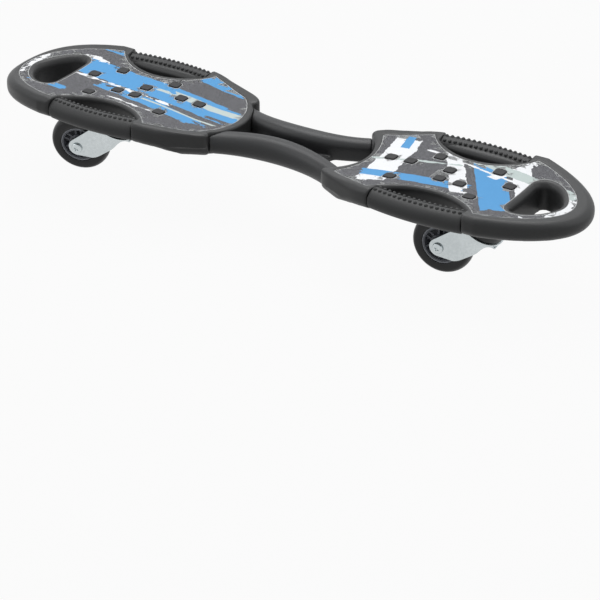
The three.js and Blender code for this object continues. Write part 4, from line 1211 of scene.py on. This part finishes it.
# --- Axles ---
# A pan-headed bolt with a cross recess runs through the fork, two spacers and the wheel's bearings, and a
# locking nut with a plastic insert holds it on the left.
seat = fork_half + sheet + FIT
head_height, head_arm, head_slot = 3.6, 3.2, 0.8
for end in ENDS:
    place, swivel_body = axle_frame(end), f"{end}_swivel"
    bolt = lathe(f"{end}_axle_screw", [
        (-seat - head_height, 0), (-seat - 3.55, 2.5), (-seat - 3.2, 4.6), (-seat - 2.5, 6.2),
        (-seat - 1.5, 7.05), (-seat - 0.5, 7.2), (-seat, 7.1), (-seat, 3.7),
        (seat + 7.4, 3.7), (seat + 8, 3.1), (seat + 8, 0),
    ])
    head_face = Matrix.Translation((0, -(seat + head_height) * MM, 0))
    recess = [
        moved(upright(block("recess", (-a, -b, -1.6), (a, b, 3))), head_face)
        for a, b in ((head_arm, head_slot), (head_slot, head_arm))
    ]
    carve(bolt, "DIFFERENCE", *recess)
    bolt.data.set_sharp_from_angle(angle=radians(EDGE_ANGLE))
    dressed(bolt, place, swivel_body, zinc, "zinc_steel", f"{end}_axle_bolt")
    nut = lathe(f"{end}_lock_nut", [
        (seat, 4), (seat, 6.4), (seat + 0.7, 7.5), (seat + 4.4, 7.5), (seat + 5, 6.3),
        (seat + 6.5, 5.6), (seat + 6.5, 4),
    ], 6)
    for polygon in nut.data.polygons:
        polygon.use_smooth = False
    dressed(nut, place, swivel_body, zinc, "zinc_steel", f"{end}_axle_nut")
    for node in ("axle_spacer_left", "axle_spacer_right", "bearing_spacer", "kingpin_nut"):
        painted(nodes[f"{end}_{node}"], zinc)

# --- Wheels ---
# A cast urethane tyre on a grey nylon hub. Six pairs of thin ribs join the hub's rim to its boss, which
# carries a shielded ball bearing at each end. The rim's lip is a painted highlight: the same nylon painted
# much lighter, so that it shows as a light ring at the tyre's edge.
urethane = moulded("urethane_tyre", (0.008, 0.008, 0.009), (0.014, 0.014, 0.015), 0.4, 700, 0.06, spread=0.1)
hub_nylon = moulded("hub_nylon", (0.19, 0.2, 0.225), (0.25, 0.26, 0.29), 0.42, 1500, 0.1)
# Painted highlight: a much lighter copy of the hub's nylon for the rim's lip ring
painted_lip_highlight = moulded("painted_lip_highlight", (0.52, 0.54, 0.58), (0.6, 0.62, 0.66), 0.4, 1500, 0.1)
bearing_shield = moulded("bearing_shield", (0.03, 0.03, 0.032), (0.05, 0.05, 0.052), 0.45)
tread_half, tread_radius, tread_fall = 12, 40, 7
rib_pairs, rib_offset, hub_face = 6, 3.6, 10.52
for end in ENDS:
    place, wheel_body = axle_frame(end), f"{end}_wheel"
    tread = [
        (tread_half * sin(a), tread_radius - tread_fall * (1 - cos(a)))
        for a in (radians(degrees) for degrees in range(-90, 91, 9))
    ]
    tyre = lathe(f"{end}_tyre_ring", [
        (-11, 25.3), (-11.2, 26.2), (-11.7, 26.8), (-11.95, 28.2), *tread,
        (11.95, 28.2), (11.7, 26.8), (11.2, 26.2), (11, 25.3),
    ], 128)
    dressed(tyre, place, wheel_body, urethane, "tyre_rubber", f"{end}_tyre")
    rim = lathe(f"{end}_hub_moulding", [
        (-10.1, 21.3), (-10.5, 21.7), (-10.5, 23.3), (-10.75, 23.5), (-10.75, 24.5), (-10.4, 25),
        (10.4, 25), (10.75, 24.5), (10.75, 23.5), (10.5, 23.3), (10.5, 21.7), (10.1, 21.3),
        (2.5, 20.9), (-2.5, 20.9),
    ], 96)
    boss = lathe("hub_boss", [
        (-3.2, 9), (-3.2, 11.3), (-10.5, 11.3), (-10.5, 13.4), (-9.9, 14),
        (9.9, 14), (10.5, 13.4), (10.5, 11.3), (3.2, 11.3), (3.2, 9),
    ], 64)
    ribs = []
    for pair in range(rib_pairs):
        turn = Matrix.Rotation(pi / 2, 4, "X") @ Matrix.Rotation(2 * pi * pair / rib_pairs, 4, "Z")
        for offset in (-rib_offset, rib_offset):
            rib = block("rib", (12.8, -1.3, -8), (22, 1.3, 8))
            ribs.append(moved(rib, turn @ Matrix.Translation((0, offset * MM, 0))))
    carve(rim, "UNION", boss, *ribs)
    # The lip ring gets the second, much lighter finish, a painted highlight on the one nylon moulding.
    painted(rim, hub_nylon, painted_lip_highlight)
    for polygon in rim.data.polygons:
        reach = hypot(polygon.center.x, polygon.center.z) / MM
        if abs(polygon.center.y) / MM > hub_face and 23.2 < reach < 24.9:
            polygon.material_index = 1
    moved(shaded(rim, EDGE_ANGLE), place)
    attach(rim, wheel_body)
    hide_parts(f"{end}_wheel_hub")
    for side, mirror in (("left", IN_PLACE), ("right", LEFT_RIGHT)):
        race = lathe(f"{end}_{side}_bearing", [
            (3.5, 4.0), (3.5, 5.6), (3.9, 6.1), (10.1, 6.1), (10.5, 5.7), (10.5, 4.0),
        ], 48)
        outer = lathe("outer", [(3.5, 9.2), (3.5, 11), (10.5, 11), (10.5, 9.7), (10.2, 9.2)], 48)
        shaded(carve(race, "UNION", outer), EDGE_ANGLE)
        shield = lathe(f"{end}_{side}_bearing_shield", [(3.8, 6.1), (3.8, 9.2), (10.2, 9.2), (10.2, 6.1)], 48)
        bearing = f"{end}_wheel_bearing_{side}"
        dressed(race, place @ mirror, wheel_body, bearing_steel, "bearing_steel", bearing)
        dressed(shield, place @ mirror, wheel_body, bearing_shield, "bearing_steel")

# --- Link bolts ---
# Two socket-headed bolts hold each arm of the link in its deck, sunk in the deck's underside.
bolt_form = upright(lathe("bolt_form", [
    (-15.6, 0), (-15.6, 4.8), (-15.2, 5.2), (-12.9, 5.2), (-12.9, 3), (3.6, 3), (4, 2.6), (4, 0),
], 32))
carve(bolt_form, "DIFFERENCE", prism("socket_way", circle(2.6, 0, 6), -22, -13.7))
for end, sign in ENDS.items():
    spots = []
    for hand in SIDES.values():
        for along in link_bolt_places:
            centre, _ = socket_path(along)
            spots.append(((sign * centre.x, hand * centre.y, centre.z), Vector((0, 0, 1))))
    bolts = shaded(repeated(f"{end}_link_screws", spots, copies, {"Form": bolt_form}), EDGE_ANGLE)
    bolt_nodes = [f"{end}_link_bolt_{i}" for i in range(1, 5)]
    dressed(bolts, IN_PLACE, f"{end}_deck", zinc, "zinc_steel", *bolt_nodes)
drop(bolt_form)
